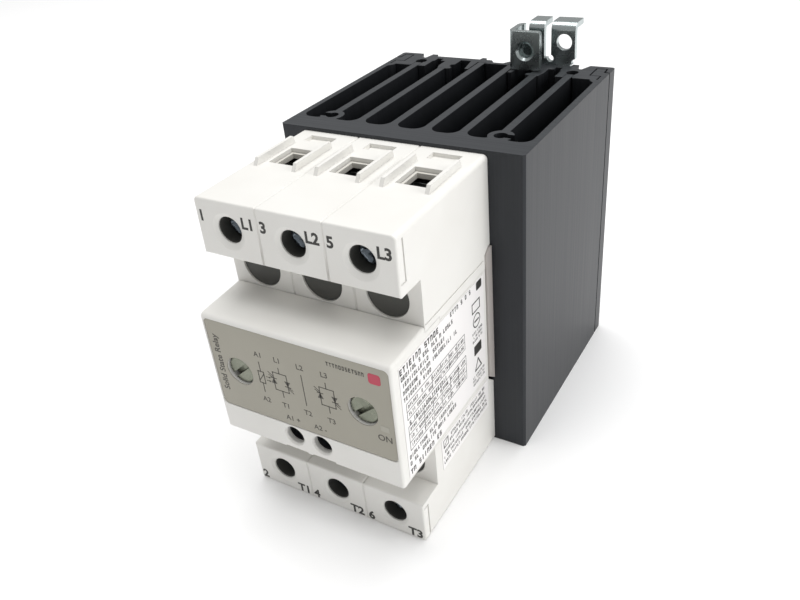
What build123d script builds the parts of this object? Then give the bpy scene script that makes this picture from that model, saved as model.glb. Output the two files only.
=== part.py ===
from build123d import *
import math
import os

# Three-pole DIN-rail solid state relay on an extruded heatsink.
# Millimetres. +X is to the right of a person facing the terminals, the terminals face -Y, +Z is up.
# Inside this script y = 0 is the heatsink's front face, where the relay housing sits. save() then
# moves everything along Y so that the origin is at the middle of the whole object's footprint.

os.makedirs("parts", exist_ok=True)

# ---------------------------------------------------------------- driving dimensions
SINK_W = 70.0           # heatsink width
SINK_H = 90.0           # length of the extrusion, standing
SINK_BASE = 7.0         # thickness of the front base
FIN_T = 2.2             # fin thickness
FIN_PITCH = 9.9         # six fins
SIDE_T = 1.85           # heatsink side wall
CHANNEL_R = 3.0         # rounding at the channel roots
FIN_TIPS = (62.6, 54.4, 58.0)   # y of the tips: inner, middle and outer fin pairs

HOUSE_W = 53.6          # three 17.87 mm poles
HOUSE_X = -1.26         # the housing sits a little left of the heatsink's middle
HOUSE_TOP = 89.0
TERM_FRONT = -42.5      # front of the terminal blocks
STEP_WALL = -34.5       # wall behind the two steps
MID_FRONT = -49.5       # front of the middle block
UP_LOW = 74.5           # underside of the line terminal block
LOW_TOP = 13.1          # top of the load terminal block
MID_TOP = 61.3          # top front edge of the middle block
MID_TOP_BACK = 62.2
MID_LOW = 25.9          # underside of the middle block
WALL = 1.7              # housing wall
POWER_WINDOW = 26.0     # half width of the window in the substrate frame

POLE_W = HOUSE_W / 3
POLES = [HOUSE_X + (i - 1) * POLE_W for i in range(3)]
LINE_Z = 81.7           # axis height of the line terminal screws
LOAD_Z = 6.7            # axis height of the load terminal screws
CONTROL_X = (-5.5, 2.8)     # A1 and A2
CONTROL_Z = 30.4
FIX_X = (POLES[0], POLES[2])    # the two long housing screws
FIX_Z = 46.3

ENTRY_HALF_W = 4.0      # wire entry, half width
ENTRY_FRONT = -20.7
ENTRY_BACK = -11.4
DRIVER_R = 3.4          # screwdriver hole of a power terminal
STEP_HOLE_R = 5.65      # round holes in the step wall
STEP_HOLE_Z = (68.1, 19.5)

BAR_T = 1.6             # busbar thickness
BAR_FRONT = -22.5       # front face of the busbar tongue inside the clamp
BAR_HALF_W = 3.6
SCREW_FRONT = -38.7      # front of the power screw heads
CLAMP_TRAVEL = 6.8      # 8.5 turns of an M5 x 0.8 thread
CONTROL_TRAVEL = 1.5    # 3 turns of an M3 x 0.5 thread
CONTROL_BAR_FRONT = -39.7
RUNNING_GAP = 0.06

SHEET_T = 1.6           # zinc-plated bracket sheet
PLATEAU = 65.3          # rear channel floor of the back plate
BACK = 66.9             # rearmost ribs of the back plate
STRIP_X = (7.3, 22.0)
STRIP_MID = (STRIP_X[0] + STRIP_X[1]) / 2
RAIL_LOW = 27.5         # lower and upper edge of the 35 mm rail
RAIL_HIGH = 62.5
TONGUE_END = 72.0
BRACKET_TOP = 102.2
PANEL_HOLE_R = 2.3

DEPTH_MID = (MID_FRONT + TONGUE_END) / 2


# ---------------------------------------------------------------- small helpers
def block(x0, x1, y0, y1, z0, z1):
    """Box between two opposite corners."""
    return Pos((x0 + x1) / 2, (y0 + y1) / 2, (z0 + z1) / 2) * Box(x1 - x0, y1 - y0, z1 - z0)


def centred(x, half, y0, y1, z0, z1):
    """Box centred on x."""
    return block(x - half, x + half, y0, y1, z0, z1)


def rod_y(x, z, radius, y0, y1):
    """Round bar along Y."""
    return Pos(x, (y0 + y1) / 2, z) * Rot(90, 0, 0) * Cylinder(radius, y1 - y0)


def side_profile(points, x0, x1):
    """(y, z) outline drawn in side view and carried from x0 to x1."""
    return Pos(x0, 0, 0) * extrude(Plane.YZ * Polygon(*points, align=None), x1 - x0, dir=(1, 0, 0))


def house_profile(points, half):
    """Side outline carried across the housing, half its width each way."""
    return side_profile(points, HOUSE_X - half, HOUSE_X + half)


def top_rect(x0, x1, y0, y1):
    """Rectangle in plan view."""
    return Pos((x0 + x1) / 2, (y0 + y1) / 2) * Rectangle(x1 - x0, y1 - y0)


def upright(sketch):
    """A plan outline carried over the whole length of the extrusion."""
    return extrude(sketch, SINK_H, dir=(0, 0, 1))


def both_sides(shape):
    """A solid and its mirror image about x = 0."""
    return shape + mirror(shape, about=Plane.YZ)


def join(shapes):
    """Fuse a list of shapes."""
    total = shapes[0]
    for shape in shapes[1:]:
        total = total + shape
    return total


def group(shapes):
    """Separate solids that share one node."""
    return Compound(children=list(shapes))


def edges_at(shape, axis, **where):
    """Straight edges along an axis whose middle lies at the given x, y or z."""
    found = []
    for edge in shape.edges().filter_by(axis):
        middle = edge.center()
        if all(abs(getattr(middle, key.upper()) - value) < 0.02 for key, value in where.items()):
            found.append(edge)
    return found


def save(node, shape):
    """Write one node with the origin at the middle of the footprint."""
    export_step(Pos(0, -DEPTH_MID, 0) * shape, f"parts/{node}.step")


# ---------------------------------------------------------------- heatsink
def fin_centres():
    """X of the six fins, right half first, from the middle outwards."""
    right = [FIN_PITCH * (i + 0.5) for i in range(3)]
    return right + [-x for x in right]


def channel(x0, x1):
    """One cooling channel in plan: round-cornered root, open to the rear."""
    width = x1 - x0
    root = Pos((x0 + x1) / 2, SINK_BASE + 10) * RectangleRounded(width, 20, CHANNEL_R)
    return root + top_rect(x0, x1, SINK_BASE + 8, 80)


def screw_boss(x):
    """C-shaped screw port at the root of an outer fin, open to the outside."""
    centre_y = SINK_BASE + 2.6
    ring = Pos(x, centre_y) * Circle(3.3)
    port = Pos(x, centre_y) * Circle(1.75)
    mouth = top_rect(x, x + 5, centre_y - 1.1, centre_y + 1.1)
    return ring, port + mouth


def heatsink_core():
    """Base, side walls and fins in one extrusion, with hooks for the back plate."""
    half = SINK_W / 2
    rim = 0.6
    plan = Polygon(
        (-half, rim), (rim - half, 0), (half - rim, 0), (half, rim),
        (half, FIN_TIPS[0]), (-half, FIN_TIPS[0]), align=None)
    walls = sorted(fin_centres())
    lefts = [SIDE_T - half] + [x + FIN_T / 2 for x in walls]
    rights = [x - FIN_T / 2 for x in walls] + [half - SIDE_T]
    for left, right in zip(lefts, rights):
        plan = plan - channel(left, right)
    core = upright(plan)
    for x, tip in zip(fin_centres()[:3], FIN_TIPS):
        core = core - both_sides(upright(top_rect(x - 2, x + 2, tip, 80)))
    ring, port = screw_boss(fin_centres()[2])
    core = core + both_sides(upright(ring))
    core = core - both_sides(upright(port))
    ledge = Polygon((31.5, 54.6), (33.4, 52.4), (33.7, 55.2), (31.5, 55.2), align=None)
    hook = Polygon(
        (35, 58.0), (35, 61.4), (33.3, 61.6), (33.1, 64.7), (30.5, 64.7), (30.5, 58.7),
        (33.6, 58.7), (33.6, 58.0), align=None)
    core = core - both_sides(upright(top_rect(30, 36, 61.3, 80)))
    core = core - both_sides(upright(top_rect(33, 33.6, 55.2, 59)))
    core = core + both_sides(upright(ledge)) + both_sides(upright(hook))
    for x in FIX_X:
        core = core - rod_y(x, FIX_Z, 2.06, -1, 6.2)
    for x, z in frame_screw_places():
        core = core - rod_y(x, z, 1.56, -1, 5.0)
    return core


def heatsink_back_plate():
    """Rear extrusion that slides over the hooks and carries the rail bracket."""
    half_plan = Polygon(
        (0, 62.0), (3.7, 62.0), (3.7, 62.8), (6.45, 62.8), (6.45, 55.6), (7.6, 55.6),
        (7.9, 57.5), (9.0, 63.2), (12.4, 63.2), (12.4, 59.0), (13.5, 58.3), (13.3, 56.6),
        (12.2, 56.0), (12.2, 54.9), (13.3, 54.5), (16.3, 54.5), (17.0, 57.0), (17.0, 61.3),
        (18.6, 61.3), (18.6, 63.3), (20.6, 63.3), (20.6, 61.0), (21.1, 60.5), (21.1, 55.2),
        (23.5, 55.2), (23.5, 59.8), (26.0, 59.8), (26.0, 55.7), (26.5, 55.2), (33.2, 55.2),
        (33.2, 58.4), (30.1, 58.4), (30.1, 65.1), (33.5, 65.1), (33.7, 62.2), (35, 62.0),
        (35, 66.3), (34.4, BACK), (27.7, BACK), (26.3, 63.2), (25.0, 63.2), (24.3, BACK),
        (22.5, BACK), (22.3, PLATEAU), (7.0, PLATEAU), (6.8, BACK), (5.4, BACK),
        (5.1, PLATEAU), (2.9, PLATEAU), (1.6, 63.4), (0, 63.4), align=None)
    port = Pos(24.75, 59.8) * Circle(1.75)
    plate = both_sides(upright(half_plan - port))
    for z in bracket_screw_heights() + slider_screw_heights():
        plate = plate - rod_y(STRIP_MID, z, 1.66, 59.5, 70)
    return plate


# ---------------------------------------------------------------- rail bracket and slider
def bracket_screw_heights():
    """Heights of the two countersunk bracket screws."""
    return [70.0, 83.0]


def slider_screw_heights():
    """Heights of the lower guide screw, the spring peg and the upper guide screw."""
    return [12.0, 22.0, 46.0]


def rail_tabs(z_root, z_tip, low, high):
    """Pair of bent tabs that grip one flange of the 35 mm rail."""
    tabs = []
    for x in (STRIP_X[0] + 2.4, STRIP_X[1] - 2.4):
        tabs.append(centred(x, 1.7, PLATEAU + SHEET_T - 0.2, 70.2, *sorted((z_root, z_tip))))
        tabs.append(centred(x, 1.7, 68.6, 70.2, low, high))
    return join(tabs)


def tongue(x0, x1):
    """Upright bent rearwards at the top."""
    bend = Plane.YZ * Polygon(
        (PLATEAU, 90.4), (PLATEAU, BRACKET_TOP), (TONGUE_END, BRACKET_TOP),
        (TONGUE_END, BRACKET_TOP - SHEET_T), (PLATEAU + SHEET_T, BRACKET_TOP - SHEET_T),
        (PLATEAU + SHEET_T, 90.4), align=None)
    outer = [v for v in bend.vertices() if v.Y < PLATEAU + 0.1 and v.Z > BRACKET_TOP - 0.1]
    bend = fillet(outer, 2.2)
    inner = [v for v in bend.vertices()
             if abs(v.Y - PLATEAU - SHEET_T) < 0.1 and abs(v.Z - BRACKET_TOP + SHEET_T) < 0.1]
    bend = fillet(inner, 0.6)
    return Pos(x0, 0, 0) * extrude(bend, x1 - x0, dir=(1, 0, 0))


def earth_ear():
    """Forward-folded ear with the drawn M5 earth thread."""
    x0, x1, y0 = 5.7, 15.5, 57.7
    low, high = 90.3, 101.3
    fold = top_rect(x0, x1, y0, y0 + SHEET_T) + top_rect(x0, x0 + SHEET_T, y0, PLATEAU + SHEET_T)
    fold = fold + top_rect(x0, 9.2, PLATEAU, PLATEAU + SHEET_T)
    sharp = [v for v in fold.vertices() if abs(v.X - x0) < 0.01]
    fold = fillet(sharp, 2.0)
    ear = Pos(0, 0, low) * extrude(fold, high - low, dir=(0, 0, 1))
    ear = ear - block(x0 + SHEET_T + 0.4, 9.3, PLATEAU - 0.1, 68, 98.2, high + 1)
    corner = edges_at(ear, Axis.Y, x=x1, z=high) + edges_at(ear, Axis.Y, x=x1, z=low)
    ear = fillet(corner, 0.8)
    ear = ear + rod_y(10.9, 95.7, 3.2, y0 + 0.2, y0 + 3.4)
    hole = rod_y(10.9, 95.7, 2.1, y0 - 1, y0 + 5)
    lead_in = Pos(10.9, y0 + 0.35, 95.7) * Rot(90, 0, 0) * Cone(2.05, 2.8, 0.72)
    return ear - hole - lead_in


def din_bracket():
    """Zinc-plated strip: rail tabs, panel tongues and the earth ear."""
    strip = block(STRIP_X[0], STRIP_X[1], PLATEAU, PLATEAU + SHEET_T, 57.0, 90.5)
    head = block(7.3, 23.4, PLATEAU, PLATEAU + SHEET_T, 90.4, 92.0)
    relief = rod_y(23.4, 90.9, 1.0, 64, 68)
    holed = tongue(16.1, 23.4) - rod_y(20.1, 96.8, PANEL_HOLE_R, 64, 68)
    parts = [strip, head - relief, tongue(9.2, 14.0), holed, earth_ear()]
    parts.append(block(STRIP_X[0], 9.3, PLATEAU, PLATEAU + SHEET_T, 90.4, 98.2))
    parts.append(rail_tabs(62.7, 64.3, 59.8, 64.3))
    bracket = join(parts)
    bracket = bracket - rod_y(15.9, 91.9, 1.0, 64, 68) - rod_y(23.4, 91.0, 1.0, 64, 68)
    bracket = bracket - block(14.0, 16.1, 64, 73, 91.9, 104)
    for z in bracket_screw_heights():
        bracket = bracket - rod_y(STRIP_MID, z, 2.1, 64, 68)
        cone = Pos(STRIP_MID, PLATEAU + 1.1, z) * Rot(90, 0, 0) * Cone(3.7, 2.1, 1.02)
        bracket = bracket - cone
    return bracket


def bracket_screws():
    """Two countersunk screws that hold the bracket to the back plate."""
    screws = []
    for z in bracket_screw_heights():
        head = Pos(STRIP_MID, PLATEAU + 1.08, z) * Rot(90, 0, 0) * Cone(3.55, 2.0, 1.0)
        stem = rod_y(STRIP_MID, z, 1.6, 60.0, PLATEAU + 1.0)
        slot = centred(STRIP_MID, 3.0, PLATEAU + 1.0, 68, z - 0.4, z + 0.4)
        cross = centred(STRIP_MID, 0.4, PLATEAU + 1.0, 68, z - 2.0, z + 2.0)
        screws.append(head + stem - slot - cross)
    return group(screws)


def din_slider():
    """Sprung foot that grips the rail's lower flange and is pulled down to release it."""
    y0, y1 = PLATEAU + 0.05, PLATEAU + 0.05 + SHEET_T
    foot = side_profile(
        [(y0, 4.2), (y0 + 0.9, 2.4), (TONGUE_END, 2.4), (TONGUE_END, 4.0), (y1, 4.0), (y1, 6),
         (y0, 6)], 10.2, 19.1)
    plate = block(STRIP_X[0] + 0.2, STRIP_X[1] - 0.2, y0, y1, 8.0, 50.0)
    neck = block(10.2, 19.1, y0, y1, 4.2, 8.1)
    slider = plate + neck + foot + rail_tabs(25.7, 27.3, 25.7, 30.2)
    pull = Pos(STRIP_MID, 69.6, 3.2) * Box(5.6, 2.0, 4)
    slider = slider - pull
    for z in (slider_screw_heights()[0], slider_screw_heights()[2]):
        slot = centred(STRIP_MID, 2.06, 64, 68, z - 0.1, z + 4.9)
        slot = slot + rod_y(STRIP_MID, z - 0.1, 2.06, 64, 68) + rod_y(STRIP_MID, z + 4.9, 2.06, 64, 68)
        slider = slider - slot
    slider = slider - centred(STRIP_MID, 2.5, 64, 68, 19.6, 40.0)
    lug = centred(STRIP_MID, 2.2, y1 - 0.3, 69.6, 40.0, 41.4)
    return slider + lug


def slider_guide_screws():
    """Two headed guide screws in the slots, and the plain peg that carries the spring."""
    low, peg, high = slider_screw_heights()
    screws = []
    for z in (low, high):
        head = rod_y(STRIP_MID, z, 3.5, 67.05, 68.5)
        stem = rod_y(STRIP_MID, z, 2.0, PLATEAU, 67.1)
        thread = rod_y(STRIP_MID, z, 1.6, 60.0, PLATEAU + 0.1)
        slot = centred(STRIP_MID, 4.0, 67.9, 69, z - 0.4, z + 0.4)
        screws.append(head + stem + thread - slot)
    post = rod_y(STRIP_MID, peg, 2.0, PLATEAU, 69.4) + rod_y(STRIP_MID, peg, 1.6, 60.0, 65.4)
    return group(screws + [post])


def din_spring():
    """Coil between the fixed peg and the slider's lug."""
    wire_r, coil_r = 0.28, 1.55
    z0, z1 = slider_screw_heights()[1] + 2.0 + wire_r + 0.05, 40.0 - wire_r - 0.05
    helix = Helix(pitch=(z1 - z0) / 8, height=z1 - z0, radius=coil_r)
    section = Plane(origin=helix @ 0, z_dir=helix % 0) * Circle(wire_r)
    coil = sweep(section, path=helix, is_frenet=True)
    return Pos(STRIP_MID, 67.45, z0) * coil


# ---------------------------------------------------------------- power section on the heatsink
def frame_screw_places():
    """(x, z) of the four screws that hold the substrate frame."""
    return [(HOUSE_X + side * POLE_W / 2, z) for side in (-1, 1) for z in (23.0, 67.0)]


def thermal_pad():
    """Heat-conducting foil between the ceramic plates and the heatsink."""
    pad = centred(HOUSE_X, POWER_WINDOW - 0.1, -0.3, 0, 31.0, 61.6)
    for x in FIX_X:
        pad = pad - rod_y(x, FIX_Z, 2.4, -1, 1)
    return pad


def substrate_frame():
    """Moulded frame round the power section, whose edges show at both housing sides."""
    points = [(-3.0, 25.3), (0, 22.9), (0, 64.9), (-1.2, 64.9), (-3.0, 63.4)]
    frame = house_profile(points, HOUSE_W / 2 + 0.5)
    frame = frame + centred(HOUSE_X, 12.4, -3.0, 0, 20.6, 69.4)
    frame = frame - centred(HOUSE_X, POWER_WINDOW, -4, 1, 29.0, 62.2)
    for x, z in frame_screw_places():
        frame = frame - rod_y(x, z, 1.6, -4, 1)
    return frame


def frame_screws():
    """Four pan-head screws of the substrate frame."""
    screws = []
    for x, z in frame_screw_places():
        head = rod_y(x, z, 2.7, -4.9, -3.0)
        stem = rod_y(x, z, 1.5, -3.1, 4.6)
        slot = centred(x, 3, -5.5, -4.1, z - 0.35, z + 0.35)
        cross = centred(x, 0.35, -5.5, -4.1, z - 1.8, z + 1.8)
        screws.append(head + stem - slot - cross)
    return group(screws)


def ceramic_substrates():
    """Copper-clad ceramic plates, an upper and a lower one in each switched pole."""
    return group([centred(x, 8.0, -1.0, -0.3, z, z + 12.4) for x in FIX_X for z in (31.4, 48.8)])


def thyristor_chips():
    """Two thyristors in each switched pole."""
    return group([block(x - 7, x + 3, -1.4, -1.0, z, z + 8) for x in FIX_X for z in (35.2, 49.4)])


def bond_straps():
    """Copper straps that put the two thyristors of a pole back to back."""
    return group([block(x - 6.6, x - 3.2, -2.0, -1.4, 36.0, 56.6) for x in FIX_X])


def gate_pins():
    """Sprung pins from the control board to the thyristor gates."""
    return group([rod_y(x + 2.2, z, 0.4, -30.0, -1.4) for x in FIX_X for z in (40.9, 51.7)])


def line_busbar(x):
    """Tin-plated bar from a line clamp down to the upper ceramic plate."""
    bar = centred(x, BAR_HALF_W, BAR_FRONT, BAR_FRONT + BAR_T, 59.0, 85.2)
    bar = bar + centred(x, BAR_HALF_W, BAR_FRONT, -1.0, 59.0, 60.6)
    bar = bar + centred(x, BAR_HALF_W, -2.4, -1.0, 57.8, 60.6)
    return fillet(edges_at(bar, Axis.X, y=BAR_FRONT, z=59.0), 1.5)


def load_busbar(x):
    """Tin-plated bar from the lower ceramic plate down to a load clamp."""
    bar = centred(x, BAR_HALF_W, BAR_FRONT, BAR_FRONT + BAR_T, 3.2, 33.6)
    bar = bar + centred(x, BAR_HALF_W, BAR_FRONT, -1.0, 32.0, 33.6)
    bar = bar + centred(x, BAR_HALF_W, -2.4, -1.0, 32.0, 34.8)
    return fillet(edges_at(bar, Axis.X, y=BAR_FRONT, z=33.6), 1.5)


def direct_busbar():
    """The middle pole isn't switched: one straight bar joins its two clamps."""
    return centred(POLES[1], BAR_HALF_W, BAR_FRONT, BAR_FRONT + BAR_T, 3.2, 85.2)


# ---------------------------------------------------------------- control electronics
BOARD_FRONT = -31.6


def control_board():
    """Circuit board behind the middle block."""
    board = block(-22.4, 21.6, BOARD_FRONT, BOARD_FRONT + 1.6, 28.2, 58.4)
    for x in FIX_X:
        board = board - rod_y(x, FIX_Z, 4.25, -33, -28)
    return board


def optocouplers():
    """Two gate-driver couplers, one for each switched pole."""
    bodies = []
    for x in (-11.5, 4.5):
        body = block(x, x + 6.4, BOARD_FRONT - 3.6, BOARD_FRONT - 0.4, 41.0, 49.6)
        legs = [block(x - 0.7, x + 7.1, BOARD_FRONT - 1.6, BOARD_FRONT, z, z + 0.6)
                for z in (41.8, 45.0, 48.2)]
        bodies.append(join([body] + legs))
    return group(bodies)


def varistors():
    """Disc varistors across the two switched poles, on the back of the board."""
    back = BOARD_FRONT + 1.6
    return group([rod_y(x, 37.4, 4.4, back, back + 4.2) for x in (-11.4, 7.6)])


def filter_capacitor():
    """Input capacitor standing on the front of the board."""
    can = rod_y(-3.0, 53.4, 3.1, BOARD_FRONT - 8.5, BOARD_FRONT)
    return fillet(can.edges().filter_by(GeomType.CIRCLE), 0.4)


def status_led():
    """Surface-mounted LED on the board."""
    return block(19.9, 21.5, BOARD_FRONT - 1.3, BOARD_FRONT, 42.2, 43.8)


def light_pipe():
    """Clear light guide from the LED to the window in the cover."""
    stem = block(21.1, 23.4, -49.2, -33.2, 42.15, 43.85)
    return stem + block(19.85, 23.4, -35.6, -33.2, 42.15, 43.85)


def control_terminal_body():
    """Moulded body with the two control clamp chambers."""
    body = block(-10.6, 7.9, -43.4, BOARD_FRONT - 0.1, 27.6, 37.2)
    for x in CONTROL_X:
        body = body + rod_y(x, CONTROL_Z, 3.2, -47.6, -43.4)
        body = body - rod_y(x, CONTROL_Z, 2.45, -48, -43.4)
    body = body - block(-11, 8, -48, -43.4, 27, MID_LOW + WALL + 0.05)
    for x in CONTROL_X:
        body = body - centred(x, 2.9, -42.6, -34.6, 28.2, 32.8)
        body = body - centred(x, 2.9, -39.2, -35.0, 27, 29)
        body = body - centred(x, 1.95, -39.9, -30, 32.7, 36.4)
        body = body - rod_y(x, CONTROL_Z, 1.5 + RUNNING_GAP, -44, -42)
    return body


def control_contacts():
    """Brass tongues of A1 and A2, running back to the board."""
    contacts = []
    for x in CONTROL_X:
        tongue_part = centred(x, 1.8, CONTROL_BAR_FRONT, CONTROL_BAR_FRONT + 0.8, 28.9, 36.0)
        back = centred(x, 1.8, CONTROL_BAR_FRONT, BOARD_FRONT, 35.2, 36.0)
        contacts.append(tongue_part + back)
    return group(contacts)


# ---------------------------------------------------------------- terminals
def driver_cross(x, z, y, reach, width, depth):
    """Cross recess cut into a screw head from the front."""
    flat = centred(x, reach, y - 1, y + depth, z - width / 2, z + width / 2)
    return flat + centred(x, width / 2, y - 1, y + depth, z - reach, z + reach)


def power_screw(x, z):
    """M5 clamp screw: head behind the screwdriver hole, tip just short of the busbar."""
    head = rod_y(x, z, 3.1, SCREW_FRONT, -33.55)
    head = fillet(head.edges().filter_by(GeomType.CIRCLE).group_by(Axis.Y)[0], 0.4)
    stem = rod_y(x, z, 2.5, -33.6, BAR_FRONT - 0.1)
    stem = chamfer(stem.edges().filter_by(GeomType.CIRCLE).group_by(Axis.Y)[-1], 0.5)
    return head + stem - driver_cross(x, z, SCREW_FRONT, 2.4, 0.9, 1.8)


def power_clamp(x, z):
    """Box clamp: the screw runs in its front wall, and the wire goes in behind the busbar."""
    half_h, front, back = 3.9, -25.2, -10.9
    cage = centred(x, 5.4, front, back, z - half_h, z + half_h)
    corners = edges_at(cage, Axis.Z, x=x - 5.4) + edges_at(cage, Axis.Z, x=x + 5.4)
    cage = fillet(corners, 0.8)
    cage = cage - centred(x, 4.2, BAR_FRONT - 0.2, back - 1.8, z - 5, z + 5)
    return cage - rod_y(x, z, 2.5 + RUNNING_GAP, front - 1, BAR_FRONT)


def control_screw(x):
    """M3 clamp screw of a control terminal."""
    z = CONTROL_Z
    head = rod_y(x, z, 2.3, -45.2, -43.45)
    head = fillet(head.edges().filter_by(GeomType.CIRCLE).group_by(Axis.Y)[0], 0.3)
    stem = rod_y(x, z, 1.5, -43.5, CONTROL_BAR_FRONT - 0.1)
    return head + stem - driver_cross(x, z, -45.2, 1.7, 0.6, 0.9)


def control_clamp(x):
    """Small box clamp of a control terminal."""
    z = CONTROL_Z
    cage = centred(x, 2.7, -41.0, -34.9, z - 1.9, z + 1.9)
    cage = cage - centred(x, 2.0, CONTROL_BAR_FRONT - 0.1, -35.9, z - 3, z + 3)
    return cage - rod_y(x, z, 1.5 + RUNNING_GAP, -42, CONTROL_BAR_FRONT)


def terminal_carrier(axis_z, inner_z, outer_z, skirt_z, disc_z):
    """Dark moulded insert that holds three clamps, with a skirt behind the step wall.

    inner_z and outer_z bound the insert on the side of the skirt and of the wire entries. Its collars
    line the screwdriver holes, and its discs close the round holes of the step wall.
    """
    low, high = sorted((inner_z, outer_z))
    half = HOUSE_W / 2 - 2.0
    body = centred(HOUSE_X, half, -40.6, -9.2, low, high)
    body = body + centred(HOUSE_X, half, -32.7, -31.2, *sorted((skirt_z, inner_z)))
    for x in POLES:
        body = body + rod_y(x, axis_z, 4.1, -41.5, -40.5)
        body = body + rod_y(x, disc_z, STEP_HOLE_R - 0.15, STEP_WALL + 0.4, -32.0)
        body = body - centred(x, 5.65, -32.3, -10.6, axis_z - 4.2, axis_z + 4.2)
        body = body - centred(x, 4.2, ENTRY_FRONT - 0.1, ENTRY_BACK + 0.1, *sorted((axis_z, outer_z)))
        body = body - centred(x, BAR_HALF_W + 0.2, BAR_FRONT - 0.2, BAR_FRONT + BAR_T + 0.2,
                              *sorted((axis_z, inner_z)))
        body = body - rod_y(x, axis_z, 3.25, -42, -33.5)
        body = body - rod_y(x, axis_z, 2.5 + RUNNING_GAP, -41, -32)
    return body


def wire_guide(plate_z, tip_z):
    """White plate with three funnel collars that show inside the wire entries."""
    low, high = plate_z
    guide = centred(HOUSE_X, HOUSE_W / 2 - 2.2, -25.0, -8.0, low, high)
    for x in POLES:
        guide = guide + centred(x, ENTRY_HALF_W - 0.35, ENTRY_FRONT + 0.35, ENTRY_BACK - 0.35,
                                *sorted((low, tip_z)))
    for x in POLES:
        mouth = centred(x, ENTRY_HALF_W - 1.1, ENTRY_FRONT + 1.1, ENTRY_BACK - 1.1, -1, 91)
        guide = guide - mouth
    return guide


# ---------------------------------------------------------------- housing
def pole_grooves(y0, y1, z):
    """V grooves along Y at the two pole boundaries, on a face at height z."""
    return [Pos(x, (y0 + y1) / 2, z) * Rot(0, 45, 0) * Box(0.5, y1 - y0, 0.5)
            for x in (HOUSE_X - POLE_W / 2, HOUSE_X + POLE_W / 2)]


def pole_grooves_up(y, z0, z1):
    """V grooves along Z at the two pole boundaries, on a face at depth y."""
    return [Pos(x, y, (z0 + z1) / 2) * Rot(0, 0, 45) * Box(0.5, 0.5, z1 - z0)
            for x in (HOUSE_X - POLE_W / 2, HOUSE_X + POLE_W / 2)]


def soften(shape, z_edge, front, radius):
    """Round the long outer edges of a terminal block at height z_edge."""
    half = HOUSE_W / 2
    rims = edges_at(shape, Axis.Y, x=HOUSE_X - half, z=z_edge)
    rims = rims + edges_at(shape, Axis.Y, x=HOUSE_X + half, z=z_edge)
    shape = fillet(rims, radius)
    fronts = [e for e in shape.edges().filter_by(Axis.X) if abs(e.center().Y - front) < 0.35]
    return fillet(fronts, 0.5)


def housing_outside():
    """Outer form of the two terminal blocks."""
    half = HOUSE_W / 2
    upper = house_profile(
        [(0, 59.7), (0, HOUSE_TOP), (TERM_FRONT, HOUSE_TOP), (TERM_FRONT - 0.3, UP_LOW),
         (STEP_WALL, UP_LOW), (STEP_WALL, 60.7), (-27.5, 60.7), (-27.5, 59.7)], half)
    lower = house_profile(
        [(0, 0), (0, 25.8), (STEP_WALL, 25.8), (STEP_WALL, LOW_TOP + 0.1),
         (TERM_FRONT, LOW_TOP), (TERM_FRONT, 0)], half)
    upper = soften(upper, HOUSE_TOP, TERM_FRONT, 1.2)
    lower = soften(lower, 0, TERM_FRONT, 1.0)
    return upper, lower


def housing_inside():
    """Hollow of the two terminal blocks, open to the heatsink and to the middle."""
    half = HOUSE_W / 2 - 1.8
    upper = house_profile(
        [(1, 55), (1, HOUSE_TOP - WALL), (TERM_FRONT + WALL, HOUSE_TOP - WALL),
         (TERM_FRONT + WALL, UP_LOW + WALL), (STEP_WALL + WALL, UP_LOW + WALL),
         (STEP_WALL + WALL, 55)], half)
    lower = house_profile(
        [(1, 1.6), (1, 30), (STEP_WALL + WALL, 30), (STEP_WALL + WALL, LOW_TOP - WALL),
         (TERM_FRONT + WALL, LOW_TOP - WALL), (TERM_FRONT + WALL, 1.6)], half)
    return upper + lower


def entry_rails(x):
    """Two raised rails beside a line wire entry, with sloping ends."""
    rails = []
    for side in (-1, 1):
        x0 = x + side * 5.75 - 0.5
        rails.append(side_profile(
            [(-8.0, HOUSE_TOP - 0.2), (-8.5, HOUSE_TOP + 1.8), (-22.6, HOUSE_TOP + 1.8),
             (-23.9, HOUSE_TOP - 0.2)], x0, x0 + 1.0))
    return join(rails)


def screw_port(x, z):
    """Screwdriver hole with a dished mouth, widened behind for the carrier's collar."""
    port = rod_y(x, z, DRIVER_R, -45, -40)
    mouth = Pos(x, TERM_FRONT, z) * Rot(90, 0, 0) * Cone(DRIVER_R, DRIVER_R + 1.9, 1.0)
    return port + mouth + rod_y(x, z, 4.2, TERM_FRONT + 0.9, -40)


def side_grooves():
    """Thin moulded lines on both housing sides."""
    cuts = []
    for side in (-1, 1):
        x = HOUSE_X + side * HOUSE_W / 2
        for z0, z1 in ((77.3, 87.6), (0.9, 11.5)):
            cuts.append(centred(x, 0.35, -40.4, -39.9, z0, z1))
            corner = z0 if z0 > 40 else z1 - 0.4
            cuts.append(centred(x, 0.2, -42.0, -39.9, corner, corner + 0.4))
        cuts.append(centred(x, 0.2, -34.2, -4.0, 62.3, 62.6))
    return cuts


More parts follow.
